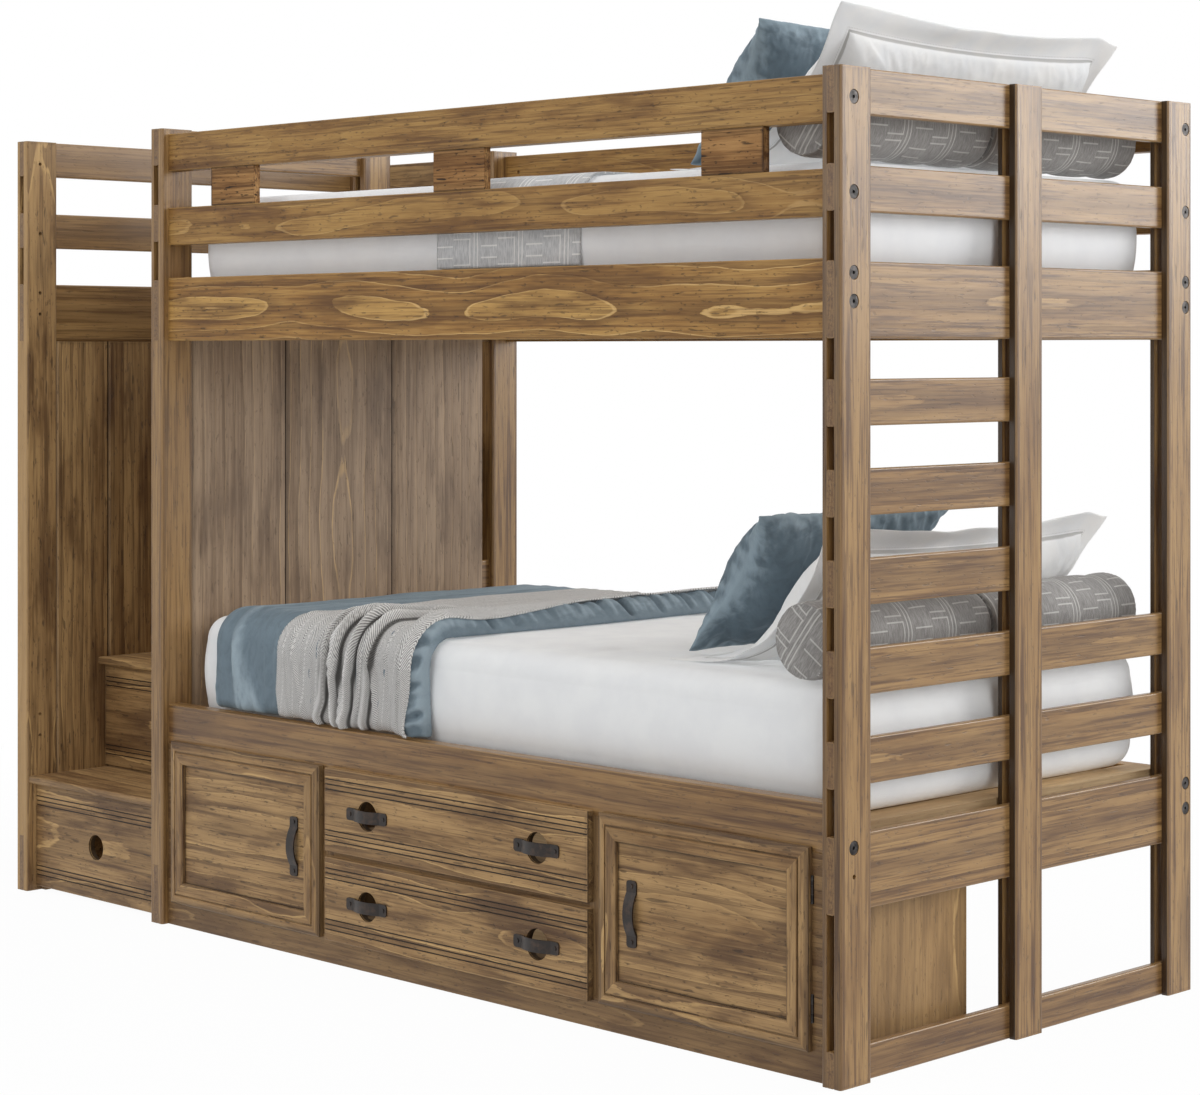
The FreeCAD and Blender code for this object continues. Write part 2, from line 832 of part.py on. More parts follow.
def drawer_box(x0, x1, y0, y1, z0, height):
    z1 = z0 + height
    inner0 = x0 + drawer_side
    inner1 = x1 - drawer_side
    floor_z = z0 + drawer_bottom_rise
    return [
        box(x0, inner0, y0, y1, z0, z1),
        box(inner1, x1, y0, y1, z0, z1),
        box(inner0, inner1, y1 - drawer_side, y1, z0, z1),
        box(inner0, inner1, y0, y1 - drawer_side, floor_z, floor_z + drawer_bottom),
    ]


def make_bed_drawers():
    y0 = front_thick
    y1 = storage_depth - thin_panel - drawer_back_gap
    height = bed_drawer_front_height - 2 * overlay - runner_height - drawer_top_gap
    for name, z0 in zip(("lower", "upper"), bed_drawer_levels):
        z1 = z0 + bed_drawer_front_height
        middle = (z0 + z1) / 2
        front = grooved_front(drawer_x0, drawer_x1, 0.0, z0, z1, bed_grooves)
        pulls = []
        for x in (drawer_x0 + pull_inset, drawer_x1 - pull_inset):
            centre = vec(x, 0.0, middle)
            front = front.cut(rod(pull_hole_radius, front_thick, centre, vec(0, 1, 0)))
            front = cut_all(front, screw_bores(centre, False))
            pulls += handle_set(centre, False)
        keep(name + "_drawer_front", [front])
        keep(name + "_drawer_pulls", pulls)
        box_x0 = drawer_opening[0] + bed_drawer_side_gap
        box_x1 = drawer_opening[1] - bed_drawer_side_gap
        box_z = z0 + overlay + runner_height
        keep(name + "_drawer_box", drawer_box(box_x0, box_x1, y0, y1, box_z, height))


# ---- Stairs ----

def riser_y(step):
    return first_riser_y + step * step_run


def carcass_y(step):
    # front edge of the gables at each step; past the last one it is the back of the stairs
    if step < step_count:
        return riser_y(step) + front_thick + rest_gap
    return back_rail_y


def tread_bottom(step):
    return first_tread_top + step * step_rise - tread_thick


def make_stair_carcass():
    gables = []
    treads = []
    for step in range(step_count):
        y0 = carcass_y(step)
        y1 = carcass_y(step + 1)
        top = tread_bottom(step)
        for x in (step_x0, step_x1 - gable_thick):
            gables.append(box(x, x + gable_thick, y0, y1, 0.0, top))
        nose = riser_y(step) - tread_nose
        tread = box(step_x0, step_x1, nose, y1, top, top + tread_thick)
        front_edges = [edge for edge in edges_along(tread, vec(1, 0, 0)) if edge.BoundBox.YMax < nose + 0.01]
        treads.append(tread.makeFillet(tread_round, front_edges))
    back_y = back_rail_y - thin_panel
    last_top = tread_bottom(step_count - 1)
    back = box(step_x0 + gable_thick, step_x1 - gable_thick, back_y, back_rail_y, 0.0, last_top)
    keep("stair_carcass", [*gables, back])
    keep("stair_treads", treads)


def make_step_drawers():
    inner0 = step_x0 + gable_thick
    inner1 = step_x1 - gable_thick
    runners = bed_drawer_runners()
    last_box_y = riser_y(step_count - 1) + front_thick
    depth = back_rail_y - thin_panel - step_drawer_back_gap - last_box_y
    height = step_rise - step_front_bottom_gap - runner_height - tread_thick - step_drawer_top_gap
    for step in range(step_count):
        y0 = riser_y(step)
        z0 = first_tread_top - step_rise + step * step_rise + step_front_bottom_gap
        z1 = tread_bottom(step) - step_front_top_gap
        x0 = step_x0 + step_front_side_gap
        x1 = step_x1 - step_front_side_gap
        front = grooved_front(x0, x1, y0, z0, z1, step_grooves)
        centre = vec((x0 + x1) / 2, y0, (z0 + z1) / 2)
        front = front.cut(rod(finger_hole_radius, front_thick, centre, vec(0, 1, 0)))
        box_x0 = inner0 + step_drawer_side_gap
        box_x1 = inner1 - step_drawer_side_gap
        box_y = y0 + front_thick
        box_z = z0 + runner_height
        boards = drawer_box(box_x0, box_x1, box_y, box_y + depth, box_z, height)
        keep("step_%d_drawer" % (step + 1), [front, *boards])
        for x in (inner0, inner1 - step_runner_width):
            y1 = box_y + depth
            runners.append(box(x, x + step_runner_width, carcass_y(step), y1, z0, box_z))
    keep("drawer_runners", runners)


# ---- Bedding ----

def rounded_outline(x0, x1, y0, y1, z, radius):
    # a rectangle with round corners, as lines and quarter arcs
    slant = radius * (1 - math.sqrt(0.5))
    edges = []
    sides = [
        ((x0 + radius, y0), (x1 - radius, y0), (x1 - slant, y0 + slant), (x1, y0 + radius)),
        ((x1, y0 + radius), (x1, y1 - radius), (x1 - slant, y1 - slant), (x1 - radius, y1)),
        ((x1 - radius, y1), (x0 + radius, y1), (x0 + slant, y1 - slant), (x0, y1 - radius)),
        ((x0, y1 - radius), (x0, y0 + radius), (x0 + slant, y0 + slant), (x0 + radius, y0)),
    ]
    for start, end, middle, finish in sides:
        edges.append(Part.LineSegment(vec(*start, z), vec(*end, z)).toShape())
        edges.append(Part.Arc(vec(*end, z), vec(*middle, z), vec(*finish, z)).toShape())
    return Part.Wire(edges)


# height above or below a face, and how far the side is drawn in there
mattress_edge = ((0.0, 45.0), (6.0, 24.0), (18.0, 8.0), (40.0, 0.0))
mattress_waist = 4.0


def mattress(deck, y0):
    bottom = deck + soft_gap
    levels = []
    for rise, inset in mattress_edge:
        levels.append((bottom + rise, inset))
    levels.append((bottom + mattress_thick / 2, mattress_waist))
    for drop, inset in reversed(mattress_edge):
        levels.append((bottom + mattress_thick - drop, inset))
    x1 = mattress_x + mattress_length
    y1 = y0 + mattress_width
    wires = []
    for z, inset in levels:
        x0 = mattress_x + inset
        wires.append(rounded_outline(x0, x1 - inset, y0 + inset, y1 - inset, z, mattress_corner))
    return Part.makeLoft(wires, True, True)


# place in from the bolster's end, and how far its side is drawn in there
bolster_end = ((0.0, 22.0), (4.0, 8.0), (12.0, 0.0))


def bolsters(deck_top):
    solids = []
    centre_x = bed_right - bolster_end_gap - bolster_radius
    centre_z = deck_top + soft_gap + bolster_radius
    for number in range(2):
        y0 = bolster_front_y + number * (bolster_length + bolster_gap)
        rings = []
        for along, inset in bolster_end:
            rings.append((y0 + along, bolster_radius - inset))
            rings.append((y0 + bolster_length - along, bolster_radius - inset))
        rings.sort()
        wires = []
        for y, radius in rings:
            circle = Part.Circle(vec(centre_x, y, centre_z), vec(0, 1, 0), radius)
            wires.append(Part.Wire([circle.toShape()]))
        solids.append(Part.makeLoft(wires, True, True))
    return solids


def slab_section(path, over, under, fullness, y):
    # a closed band round a line of points, seen from the end
    upper = []
    lower = []
    last = len(path) - 1
    for number, (x, z) in enumerate(path):
        before = path[max(number - 1, 0)]
        after = path[min(number + 1, last)]
        run = vec(after[0] - before[0], 0, after[1] - before[1]).normalize()
        normal = vec(-run.z, 0, run.x)
        edge = 3.0
        place = vec(x, y, z)
        upper.append(place.add(FreeCAD.Vector(normal).multiply(edge + fullness * over[number])))
        lower.append(place.add(FreeCAD.Vector(normal).multiply(-edge - fullness * under[number])))
    return Part.makePolygon([*upper, *reversed(lower), upper[0]])


# across the width: share of the width, and how full the pillow is there
pillow_fullness = ((0.0, 0.0), (0.07, 0.12), (0.16, 0.6), (0.32, 0.93), (0.5, 1.0),
                   (0.68, 0.93), (0.84, 0.6), (0.93, 0.12), (1.0, 0.0))
cushion_fullness = ((0.0, 0.0), (0.1, 0.42), (0.25, 0.8), (0.5, 1.0), (0.75, 0.8), (0.9, 0.42), (1.0, 0.0))


def soft_slab(path, over, under, span, shares, deck_top):
    wires = []
    placed = [(overall_length + x, deck_top + z) for x, z in path]
    for share, fullness in shares:
        y = span[0] + share * (span[1] - span[0])
        wires.append(slab_section(placed, over, under, fullness, y))
    return Part.makeLoft(wires, True, True)


# the side view of each pillow: x from the outer face of the ladder end, z above the mattress
pillow_path = ((-560.0, 3.3), (-470.0, 3.3), (-400.0, 16.0), (-340.0, 44.0), (-285.0, 88.0),
               (-232.0, 140.0), (-190.0, 200.0), (-160.0, 262.0))
pillow_over = (0.0, 6.0, 30.0, 60.0, 75.0, 70.0, 42.0, 0.0)
pillow_under = (0.0, 0.0, 8.0, 24.0, 44.0, 38.3, 24.0, 0.0)
cushion_path = ((-556.0, 8.3), (-532.0, 62.0), (-490.0, 118.0),
                (-452.0, 172.0), (-412.0, 226.0), (-368.0, 278.0))
cushion_over = (0.0, 30.0, 54.0, 58.0, 40.0, 0.0)
cushion_under = (0.0, 16.0, 45.0, 49.2, 39.0, 0.0)

# cloth follows the mattress: place in from its side, height from its top
drape_edge = [(inset, -drop) for drop, inset in reversed(mattress_edge)]
drape_middle = (0.3, 0.5, 0.7)
drape_gap = 0.5


def drape_path(top, y0, above, beside, drop):
    # above is the height over the mattress on its top, beside how far off its sides
    fade = -drape_edge[0][1]
    flat = drape_edge[-1][0]
    edge = []
    for inset, rise in drape_edge:
        share = 1 + rise / fade
        off = beside + (above - beside) * share
        edge.append((inset - off * (1 - inset / flat), top + rise + above * share))
    y1 = y0 + mattress_width
    points = [(y0 - beside, top - drop), *[(y0 + inset, z) for inset, z in edge]]
    points += [(y0 + share * mattress_width, top + above) for share in drape_middle]
    points += [(y1 - inset, z) for inset, z in reversed(edge)]
    return [*points, (y1 + beside, top - back_drop)]


def drape(top, y0, span, inner, outer, drop, folds):
    # cloth laid over the mattress from side to side, with low folds along its length
    stations = len(folds) - 1
    wires = []
    for number, fold in enumerate(folds):
        x = bed_left + span[0] + (span[1] - span[0]) * number / stations
        low = drape_path(top, y0, *inner, drop)
        high = drape_path(top, y0, outer[0] + fold, outer[1], drop)
        points = [vec(x, y, z) for y, z in [*low, *reversed(high)]]
        wires.append(Part.makePolygon([*points, points[0]]))
    return Part.makeLoft(wires, True, True)


duvet_folds = (-6.0, 0.0, 3.0, 0.0, 2.0, 4.0, 1.0, 3.0, -6.0)
throw_folds = (0.0, 3.0, 0.0, 4.0, 1.0, 4.0, 0.0)


def make_bedding():
    lower_top = lower_deck_z + soft_gap + mattress_thick
    upper_top = upper_deck_z + soft_gap + mattress_thick
    keep("lower_mattress", [mattress(lower_deck_z, lower_mattress_y)])
    keep("upper_mattress", [mattress(upper_deck_z, upper_mattress_y)])
    keep("lower_bolsters", bolsters(lower_top))
    keep("upper_bolsters", bolsters(upper_top))
    pillow_y = (front_rail_inner + pillow_front_gap, back_rail_y - pillow_back_gap)
    cushion_front_y = front_rail_inner + cushion_front_gap
    cushion_y = (cushion_front_y, cushion_front_y + cushion_width)
    for name, top in (("lower", lower_top), ("upper", upper_top)):
        pillow = soft_slab(pillow_path, pillow_over, pillow_under, pillow_y, pillow_fullness, top)
        keep(name + "_pillow", [pillow])
        cushion = soft_slab(cushion_path, cushion_over, cushion_under, cushion_y, cushion_fullness, top)
        keep(name + "_cushion", [cushion])
    skin = (drape_gap, drape_gap)
    duvet_out = (duvet_thick, duvet_side_thick)
    duvet = drape(lower_top, lower_mattress_y, duvet_span, skin, duvet_out, front_drop, duvet_folds)
    keep("folded_duvet", [duvet])
    over_duvet = (duvet_thick + max(duvet_folds) + drape_gap, duvet_side_thick + drape_gap)
    throw_out = (over_duvet[0] + throw_thick, over_duvet[1] + throw_side_thick)
    throw = drape(lower_top, lower_mattress_y, throw_span, over_duvet, throw_out, front_drop, throw_folds)
    keep("lower_throw", [throw])
    out = (throw_thick, upper_throw_side_thick)
    throw = drape(upper_top, upper_mattress_y, upper_throw_span, skin, out, upper_front_drop, throw_folds)
    keep("upper_throw", [throw])


# ---- Build and export ----

make_ladder_end()
make_bed_stair_frame()
make_stair_outer_frame()
make_side_rails()
make_decks()
make_face_frame()
make_storage_carcass()
make_door("left_door", left_door_x0, left_door_x1, left_door_x0, 1, left_door_x1 - door_handle_inset)
make_door("right_door", right_door_x0, right_door_x1, right_door_x1, -1, right_door_x0 + door_handle_inset)
make_hinge_frame_leaves()
make_bed_drawers()
make_stair_carcass()
make_step_drawers()
make_fasteners()
make_bedding()

origin_shift = vec(-overall_length / 2, -(bed_depth - strap_projection) / 2, 0)
for name, solids in pieces.items():
    shape = solids[0] if len(solids) == 1 else Part.makeCompound(solids)
    shape.translate(origin_shift)
    shape.exportStep("parts/%s.step" % name)
print(len(pieces), "nodes,", sum(len(solids) for solids in pieces.values()), "solids")
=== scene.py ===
import math

import bmesh
import bpy
from mathutils import Matrix, Vector, noise
from mathutils.bvhtree import BVHTree


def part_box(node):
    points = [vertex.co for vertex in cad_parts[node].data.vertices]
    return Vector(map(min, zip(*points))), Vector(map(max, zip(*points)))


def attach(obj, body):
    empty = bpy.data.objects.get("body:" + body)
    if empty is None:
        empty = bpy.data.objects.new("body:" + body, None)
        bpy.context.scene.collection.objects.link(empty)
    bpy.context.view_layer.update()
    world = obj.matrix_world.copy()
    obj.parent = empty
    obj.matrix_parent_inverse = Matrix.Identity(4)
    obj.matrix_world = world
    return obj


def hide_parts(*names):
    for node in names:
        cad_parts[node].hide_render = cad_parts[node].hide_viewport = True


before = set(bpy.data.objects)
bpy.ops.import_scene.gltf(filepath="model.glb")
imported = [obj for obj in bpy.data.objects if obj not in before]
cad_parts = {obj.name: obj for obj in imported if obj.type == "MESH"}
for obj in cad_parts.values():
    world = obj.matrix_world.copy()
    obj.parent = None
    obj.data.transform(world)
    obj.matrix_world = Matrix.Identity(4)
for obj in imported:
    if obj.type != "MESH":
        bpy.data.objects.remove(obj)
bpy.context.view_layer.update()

print("frame loaded:", len(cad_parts), "CAD nodes")


camera = {"place": (4.3748, -4.2169, 1.2798), "turn": 45.06, "lens": 83.42, "film": 36.0, "shiftY": -0.1651}


def makeCamera():
    data = bpy.data.cameras.new("viewer")
    data.sensor_fit = "HORIZONTAL"
    data.sensor_width = camera["film"]
    data.lens = camera["lens"]
    data.shift_y = camera["shiftY"]
    data.clip_end = 100
    viewer = bpy.data.objects.new("viewer", data)
    viewer.location = camera["place"]
    viewer.rotation_euler = (math.radians(90), 0, math.radians(camera["turn"]))
    bpy.context.scene.collection.objects.link(viewer)
    bpy.context.scene.camera = viewer
    print("camera made")


def tint(red, green, blue):
    # a screen colour from 0 to 255, made linear
    linear = []
    for value in (red / 255, green / 255, blue / 255):
        linear.append(value / 12.92 if value <= 0.04045 else ((value + 0.055) / 1.055) ** 2.4)
    return (*linear, 1.0)


class Socket:
    # an output that sums can be written with
    def __init__(self, paint, link):
        self.paint = paint
        self.link = link

    def __add__(self, other):
        return self.paint.maths("ADD", self, other)

    def __radd__(self, other):
        return self.paint.maths("ADD", other, self)

    def __sub__(self, other):
        return self.paint.maths("SUBTRACT", self, other)

    def __rsub__(self, other):
        return self.paint.maths("SUBTRACT", other, self)

    def __mul__(self, other):
        return self.paint.maths("MULTIPLY", self, other)

    def __rmul__(self, other):
        return self.paint.maths("MULTIPLY", other, self)

    def __truediv__(self, other):
        return self.paint.maths("DIVIDE", self, other)

    def __gt__(self, other):
        return self.paint.maths("GREATER_THAN", self, other)

    def __lt__(self, other):
        return self.paint.maths("LESS_THAN", self, other)


class Paint:
    # a node tree and the calls that fill it
    def __init__(self, tree):
        self.nodes = tree.nodes
        self.links = tree.links
        self.nodes.clear()

    def node(self, kind, settings, values, output=0):
        made = self.nodes.new(kind)
        for name, setting in settings.items():
            setattr(made, name, setting)
        for key, value in values.items():
            if isinstance(value, Socket):
                self.links.new(value.link, made.inputs[key])
            else:
                made.inputs[key].default_value = value
        return Socket(self, made.outputs[output] if len(made.outputs) else None)

    def maths(self, operation, *values):
        return self.node("ShaderNodeMath", {"operation": operation}, dict(enumerate(values)))

    def apart(self, vector):
        outputs = self.node("ShaderNodeSeparateXYZ", {}, {0: vector}).link.node.outputs
        return [Socket(self, output) for output in outputs]

    def place(self):
        return self.apart(self.node("ShaderNodeTexCoord", {}, {}, "Object"))

    def onCloth(self):
        # how far along and across the cloth, in metres
        return self.apart(self.node("ShaderNodeUVMap", {"uv_map": "cloth"}, {}))[:2]

    def foldLightHere(self):
        # painted light and shade kept on the cloth: 0 in a hollow, 0.5 on the flat, 1 on a crest
        return self.node("ShaderNodeAttribute", {"attribute_name": "relief"}, {}, "Fac")

    def join(self, x, y, z):
        return self.node("ShaderNodeCombineXYZ", {}, {0: x, 1: y, 2: z})

    def clouds(self, x, y, z, detail=2.0, rough=0.55):
        values = {"Vector": self.join(x, y, z), "Scale": 1.0, "Detail": detail, "Roughness": rough}
        return self.node("ShaderNodeTexNoise", {}, values)

    def step(self, value, start, end):
        # 0 at start, 1 at end, smooth between
        settings = {"interpolation_type": "SMOOTHSTEP"}
        return self.node("ShaderNodeMapRange", settings, {0: value, 1: start, 2: end, 3: 0.0, 4: 1.0})

    def blend(self, share, first, second):
        return self.node("ShaderNodeMix", {"data_type": "RGBA"}, {0: share, 6: first, 7: second}, 2)

    def shade(self, share, colour, second):
        settings = {"data_type": "RGBA", "blend_type": "MULTIPLY"}
        return self.node("ShaderNodeMix", settings, {0: share, 6: colour, 7: second}, 2)

    def least(self, *values):
        # the lowest of some values
        found = values[0]
        for value in values[1:]:
            found = self.maths("MINIMUM", found, value)
        return found

    def seen(self):
        # 1 for what the camera sees, directly or in gloss and glass
        rays = self.node("ShaderNodeLightPath", {}, {}).link.node.outputs
        found = Socket(self, rays["Is Camera Ray"])
        for name in ("Is Glossy Ray", "Is Transmission Ray"):
            found = self.maths("MAXIMUM", found, Socket(self, rays[name]))
        return found


def newMaterial(name):
    material = bpy.data.materials.new(name)
    material.use_nodes = True
    return material, Paint(material.node_tree)


def coat(paint, colour, rough, height, depth, constants):
    # the shader itself: colour, roughness and relief vary, the constants are set on it
    bump = paint.node("ShaderNodeBump", {}, {"Strength": 1.0, "Distance": depth, "Height": height})
    values = {"Base Color": colour, "Roughness": rough, "Normal": bump, **constants}
    shader = paint.node("ShaderNodeBsdfPrincipled", {}, values)
    paint.node("ShaderNodeOutputMaterial", {}, {"Surface": shader})


studio = {
    "ambient": 0.47, "ambientTint": (0.97, 0.985, 1.0, 1.0),
    "floorTint": tint(236, 236, 236), "floorWhite": 0.95, "shadowReach": (1.7, 3.4), "floorSize": 30,
    "white": (1, 1, 1, 1),
    "lamps": {
        # place, aimed at, watts, size, whether it casts shadows
        "rightSoftbox": ((8.3, -3.0, 3.5), (0.2, 0.0, 0.9), 165, 4.4, True),
        "frontSoftbox": ((-0.9, -4.6, 2.7), (0.0, 0.0, 0.8), 46, 2.8, True),
        "endWash": ((6.8, 7.6, 3.9), (1.2, 0.0, 1.6), 440, 4.4, True),
        "overheadFill": ((0.0, 0.0, 10.0), (0.0, 0.0, 0.5), 380, 6.6, False),
    },
}


def makeStudio():
    world = bpy.data.worlds.new("room")
    bpy.context.scene.world = world
    world.use_nodes = True
    paint = Paint(world.node_tree)
    soft = paint.node("ShaderNodeBackground", {}, {0: studio["ambientTint"], 1: studio["ambient"]})
    white = paint.node("ShaderNodeBackground", {}, {0: studio["white"], 1: 1.0})
    mixed = paint.node("ShaderNodeMixShader", {}, {0: paint.seen(), 1: soft, 2: white})
    paint.node("ShaderNodeOutputWorld", {}, {0: mixed})

    floorMesh = bmesh.new()
    bmesh.ops.create_grid(floorMesh, x_segments=2, y_segments=2, size=studio["floorSize"])
    floor = asObject(floorMesh, "floor")
    material, paint = newMaterial("pale floor")
    x, y, z = paint.place()
    away = paint.step(paint.maths("SQRT", x * x + y * y), *studio["shadowReach"])
    share = studio["floorWhite"] + (1 - studio["floorWhite"]) * away
    matt = paint.node("ShaderNodeBsdfDiffuse", {}, {0: studio["floorTint"]})
    glow = paint.node("ShaderNodeEmission", {}, {0: studio["white"], 1: 1.0})
    mixed = paint.node("ShaderNodeMixShader", {}, {0: paint.seen() * share, 1: matt, 2: glow})
    paint.node("ShaderNodeOutputMaterial", {}, {0: mixed})
    floor.data.materials.append(material)

    for name, (place, target, watts, size, shadows) in studio["lamps"].items():
        data = bpy.data.lights.new(name, "AREA")
        data.energy = watts
        data.size = size
        data.use_shadow = shadows
        lamp = bpy.data.objects.new(name, data)
        lamp.location = place
        lamp.rotation_euler = (Vector(target) - Vector(place)).to_track_quat("-Z", "Y").to_euler()
        bpy.context.scene.collection.objects.link(lamp)
    bpy.context.scene.view_settings.view_transform = "Standard"
    print("floor and lights made")


def asObject(mesh, name, smooth=False):
    data = bpy.data.meshes.new(name)
    for face in mesh.faces:
        face.smooth = smooth
    mesh.to_mesh(data)
    mesh.free()
    made = bpy.data.objects.new(name, data)
    bpy.context.scene.collection.objects.link(made)
    return made


# each cut of pine: its four colours; the gap between rings, the depth of the tree's heart behind the face, and
# how far the rings wander, swell and swing; then how strong each mark of grain and wear is, the pale worn edges
# being partly a painted highlight, and the finish
stainedPine = {
    "pale": tint(189, 149, 86), "honey": tint(148, 107, 55),
    "brown": tint(84, 54, 26), "deep": tint(33, 21, 12),
    "ringGap": 0.0250, "heartDepth": 0.036, "wander": 0.13, "swell": 0.014, "swing": 0.15, "ringSpread": 0.50,
    "blotch": 1.6, "streaks": 1.1, "stain": 0.52, "lines": 0.52, "glint": 0.56, "fibre": 0.64, "specks": 0.54,
    "rough": 0.36, "coat": 0.05, "shine": 0.24, "relief": 0.0012, "wornAndHighlit": 0.50,
}
straightPine = {
    "pale": tint(158, 124, 78), "honey": tint(134, 99, 57),
    "brown": tint(84, 56, 30), "deep": tint(38, 25, 15),
    "ringGap": 0.0056, "heartDepth": 0.160, "wander": 0.006, "swell": 0.0010, "swing": 0.004, "ringSpread": 0.34,
    "blotch": 1.3, "streaks": 1.5, "stain": 0.24, "lines": 0.50, "glint": 0.16, "fibre": 0.84, "specks": 0.40,
    "rough": 0.28, "coat": 0.42, "shine": 0.26, "relief": 0.0005, "wornAndHighlit": 0.70,
}
boardPine = {
    "pale": tint(175, 141, 95), "honey": tint(132, 100, 63),
    "brown": tint(78, 54, 34), "deep": tint(32, 21, 14),
    "ringGap": 0.0280, "heartDepth": 0.045, "wander": 0.070, "swell": 0.009, "swing": 0.09, "ringSpread": 0.50,
    "blotch": 2.0, "streaks": 0.9, "stain": 0.56, "lines": 0.44, "glint": 0.48, "fibre": 0.58, "specks": 0.50,
    "rough": 0.38, "coat": 0.08, "shine": 0.28, "relief": 0.0011, "wornAndHighlit": 0.42,
}
# greyer than boardPine and lighter in its middle tones: partly the boards' own tone, partly painted light for
# the cool light on this wall inside the bed
wallPine = {
    **boardPine, "pale": tint(170, 146, 120), "honey": tint(139, 116, 93), "brown": tint(92, 73, 57),
    "wander": 0.05, "blotch": 1.5, "streaks": 0.5, "stain": 0.40, "lines": 0.28, "glint": 0.44, "fibre": 0.30,
    "specks": 0.26,
}
sawnPine = {
    **stainedPine, "pale": tint(184, 142, 90), "honey": tint(140, 99, 56), "ringGap": 0.0048, "heartDepth": 0.16,
    "wander": 0.004, "swell": 0.0008, "swing": 0.003, "fibre": 0.85, "glint": 0.0, "specks": 0.9, "rough": 0.62,
    "relief": 0.0012, "darkEdge": 0.6,
}
plainPine = {
    **boardPine, "pale": tint(190, 164, 126), "honey": tint(166, 138, 101), "brown": tint(132, 104, 72),
    "deep": tint(70, 50, 33), "ringGap": 0.0180, "wander": 0.08, "swing": 0.06, "stain": 0.25, "lines": 0.30,
    "fibre": 0.30, "specks": 0.25, "rough": 0.55, "coat": 0.0, "shine": 0.3, "relief": 0.0004, "wornAndHighlit": 0.2,
}
glintTint = tint(222, 184, 124)  # the light outline of a ring
# how much the narrow front faces are darkened as painted shade, or made paler as painted light where it is below
# 0
paintedFrontShading = {"ladder_front_post": 0.36, "ladder_middle_post": 0.88, "ladder_back_post": 0.80,
               "outer_front_post": -0.70}
# how much more whole pieces are stained, or paler where it is below 0: mostly the stain's own tone, but
# storage_face_frame's share is painted shade and storage_carcass's a painted sheen
toneAndPaintedLight = {"upper_top_rail": 0.26, "upper_second_rail": 0.20, "storage_face_frame": 0.48, "bed_back_rails": 0.25,
          "stair_back_rails": 0.15, "outer_stair_rails": -0.20, "bed_stair_front_post": -0.16,
          "storage_carcass": -0.34, "stair_treads": 0.12}
# how strong the rings show on some boards, 1 elsewhere
figured = {"upper_top_rail": 0.22, "upper_second_rail": 0.60, "bed_back_rails": 0.4}
straightGrained = ["post", "end_", "ladder_rungs", "bed_stair_rails", "outer_stair_rails", "lower_front_rail"]
boardGrained = ["wall_boards", "door", "drawer", "stair_", "storage_", "treads"]


# scale along the grain and how far it is shifted, scale across, its shift into the board, detail, roughness
grainNoise = {
    "drift": (1.5, 1, 2.0, 1, 1.0, 0.55), "swell": (3.4, -1, 9, 1, 2.0, 0.55),
    "heart": (1.9, 2, 1.5, -1, 1.0, 0.55), "ripple": (11, 1, 70, 0, 2.0, 0.55),
    "fibre": (9, 1, 430, 0, 3.0, 0.62), "fine": (5, 1, 190, 1, 3.0, 0.65),
    "streak": (2.4, 1, 62, 0, 3.0, 0.66), "patch": (3.1, 1, 12, 0, 4.0, 0.62),
    "speck": (55, 0, 190, 1, 2.0, 0.55), "mark": (17, 1, 105, 0, 1.0, 0.55),
}


def figureOf(node, kind):
    # which cut of pine a node is made of
    if kind == "plain_wood" and node != "storage_carcass":
        return plainPine
    if node == "guard_spacer_blocks":
        return sawnPine
    if node == "outer_front_post":
        return boardPine
    if node == "bed_wall_boards":
        return wallPine
    if any(word in node for word in straightGrained):
        return straightPine
    if any(word in node for word in boardGrained):
        return boardPine
    return stainedPine


# the grain's axis, the axis across the board and the one into it
grainOf = {
    "zyx": ["ladder_front_post", "ladder_middle_post", "ladder_back_post", "bed_stair_front_post", "entry_post",
            "bed_stair_back_post", "outer_front_post", "outer_back_post", "bed_wall_boards", "outer_wall_boards",
            "stair_carcass", "storage_carcass"],
    "yzx": ["end_guard_rails", "end_deep_rails", "ladder_rungs", "end_foot_rail", "bed_stair_rails",
            "outer_stair_rails"],
    "xzy": ["upper_top_rail", "upper_second_rail", "upper_deck_rail", "guard_spacer_blocks", "bed_back_rails",
            "stair_back_rails", "lower_front_rail", "storage_face_frame", "left_door_panel", "right_door_panel",
            "left_door_frame", "right_door_frame", "upper_drawer_front", "lower_drawer_front", "step_1_drawer",
            "step_2_drawer", "step_3_drawer", "step_4_drawer", "slat_cleats", "drawer_runners",
            "upper_drawer_box", "lower_drawer_box"],
    "xyz": ["stair_treads"],
    "yxz": ["mattress_slats"],
}


def boardSpans(node, axis):
    # the stretches that a node's boards take up on one axis
    copy = bmesh.new()
    copy.from_mesh(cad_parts[node].data)
    bmesh.ops.remove_doubles(copy, verts=copy.verts, dist=1e-5)
    unseen = set(copy.verts)
    spans = []
    while unseen:
        waiting = [unseen.pop()]
        places = []
        while waiting:
            vert = waiting.pop()
            places.append(vert.co[axis])
            for edge in vert.link_edges:
                other = edge.other_vert(vert)
                if other in unseen:
                    unseen.discard(other)
                    waiting.append(other)
        spans.append((min(places), max(places)))
    copy.free()
    merged = []
    for low, high in sorted(spans):
        if merged and low < merged[-1][1] - 0.004:
            merged[-1] = (merged[-1][0], max(high, merged[-1][1]))
        else:
            merged.append((low, high))
    return merged


def ownBoard(value, spans):
    # each board's number, middle and half width, changing in the gaps between the boards
    number = 0.0
    middle = sum(spans[0]) / 2
    half = (spans[0][1] - spans[0][0]) / 2
    for before, after in zip(spans, spans[1:]):
        past = value > (before[1] + after[0]) / 2
        number = past + number
        middle = past * ((sum(after) - sum(before)) / 2) + middle
        change = (after[1] - after[0] - before[1] + before[0]) / 2
        if abs(change) > 1e-4:
            half = past * change + half
    return number, middle, half


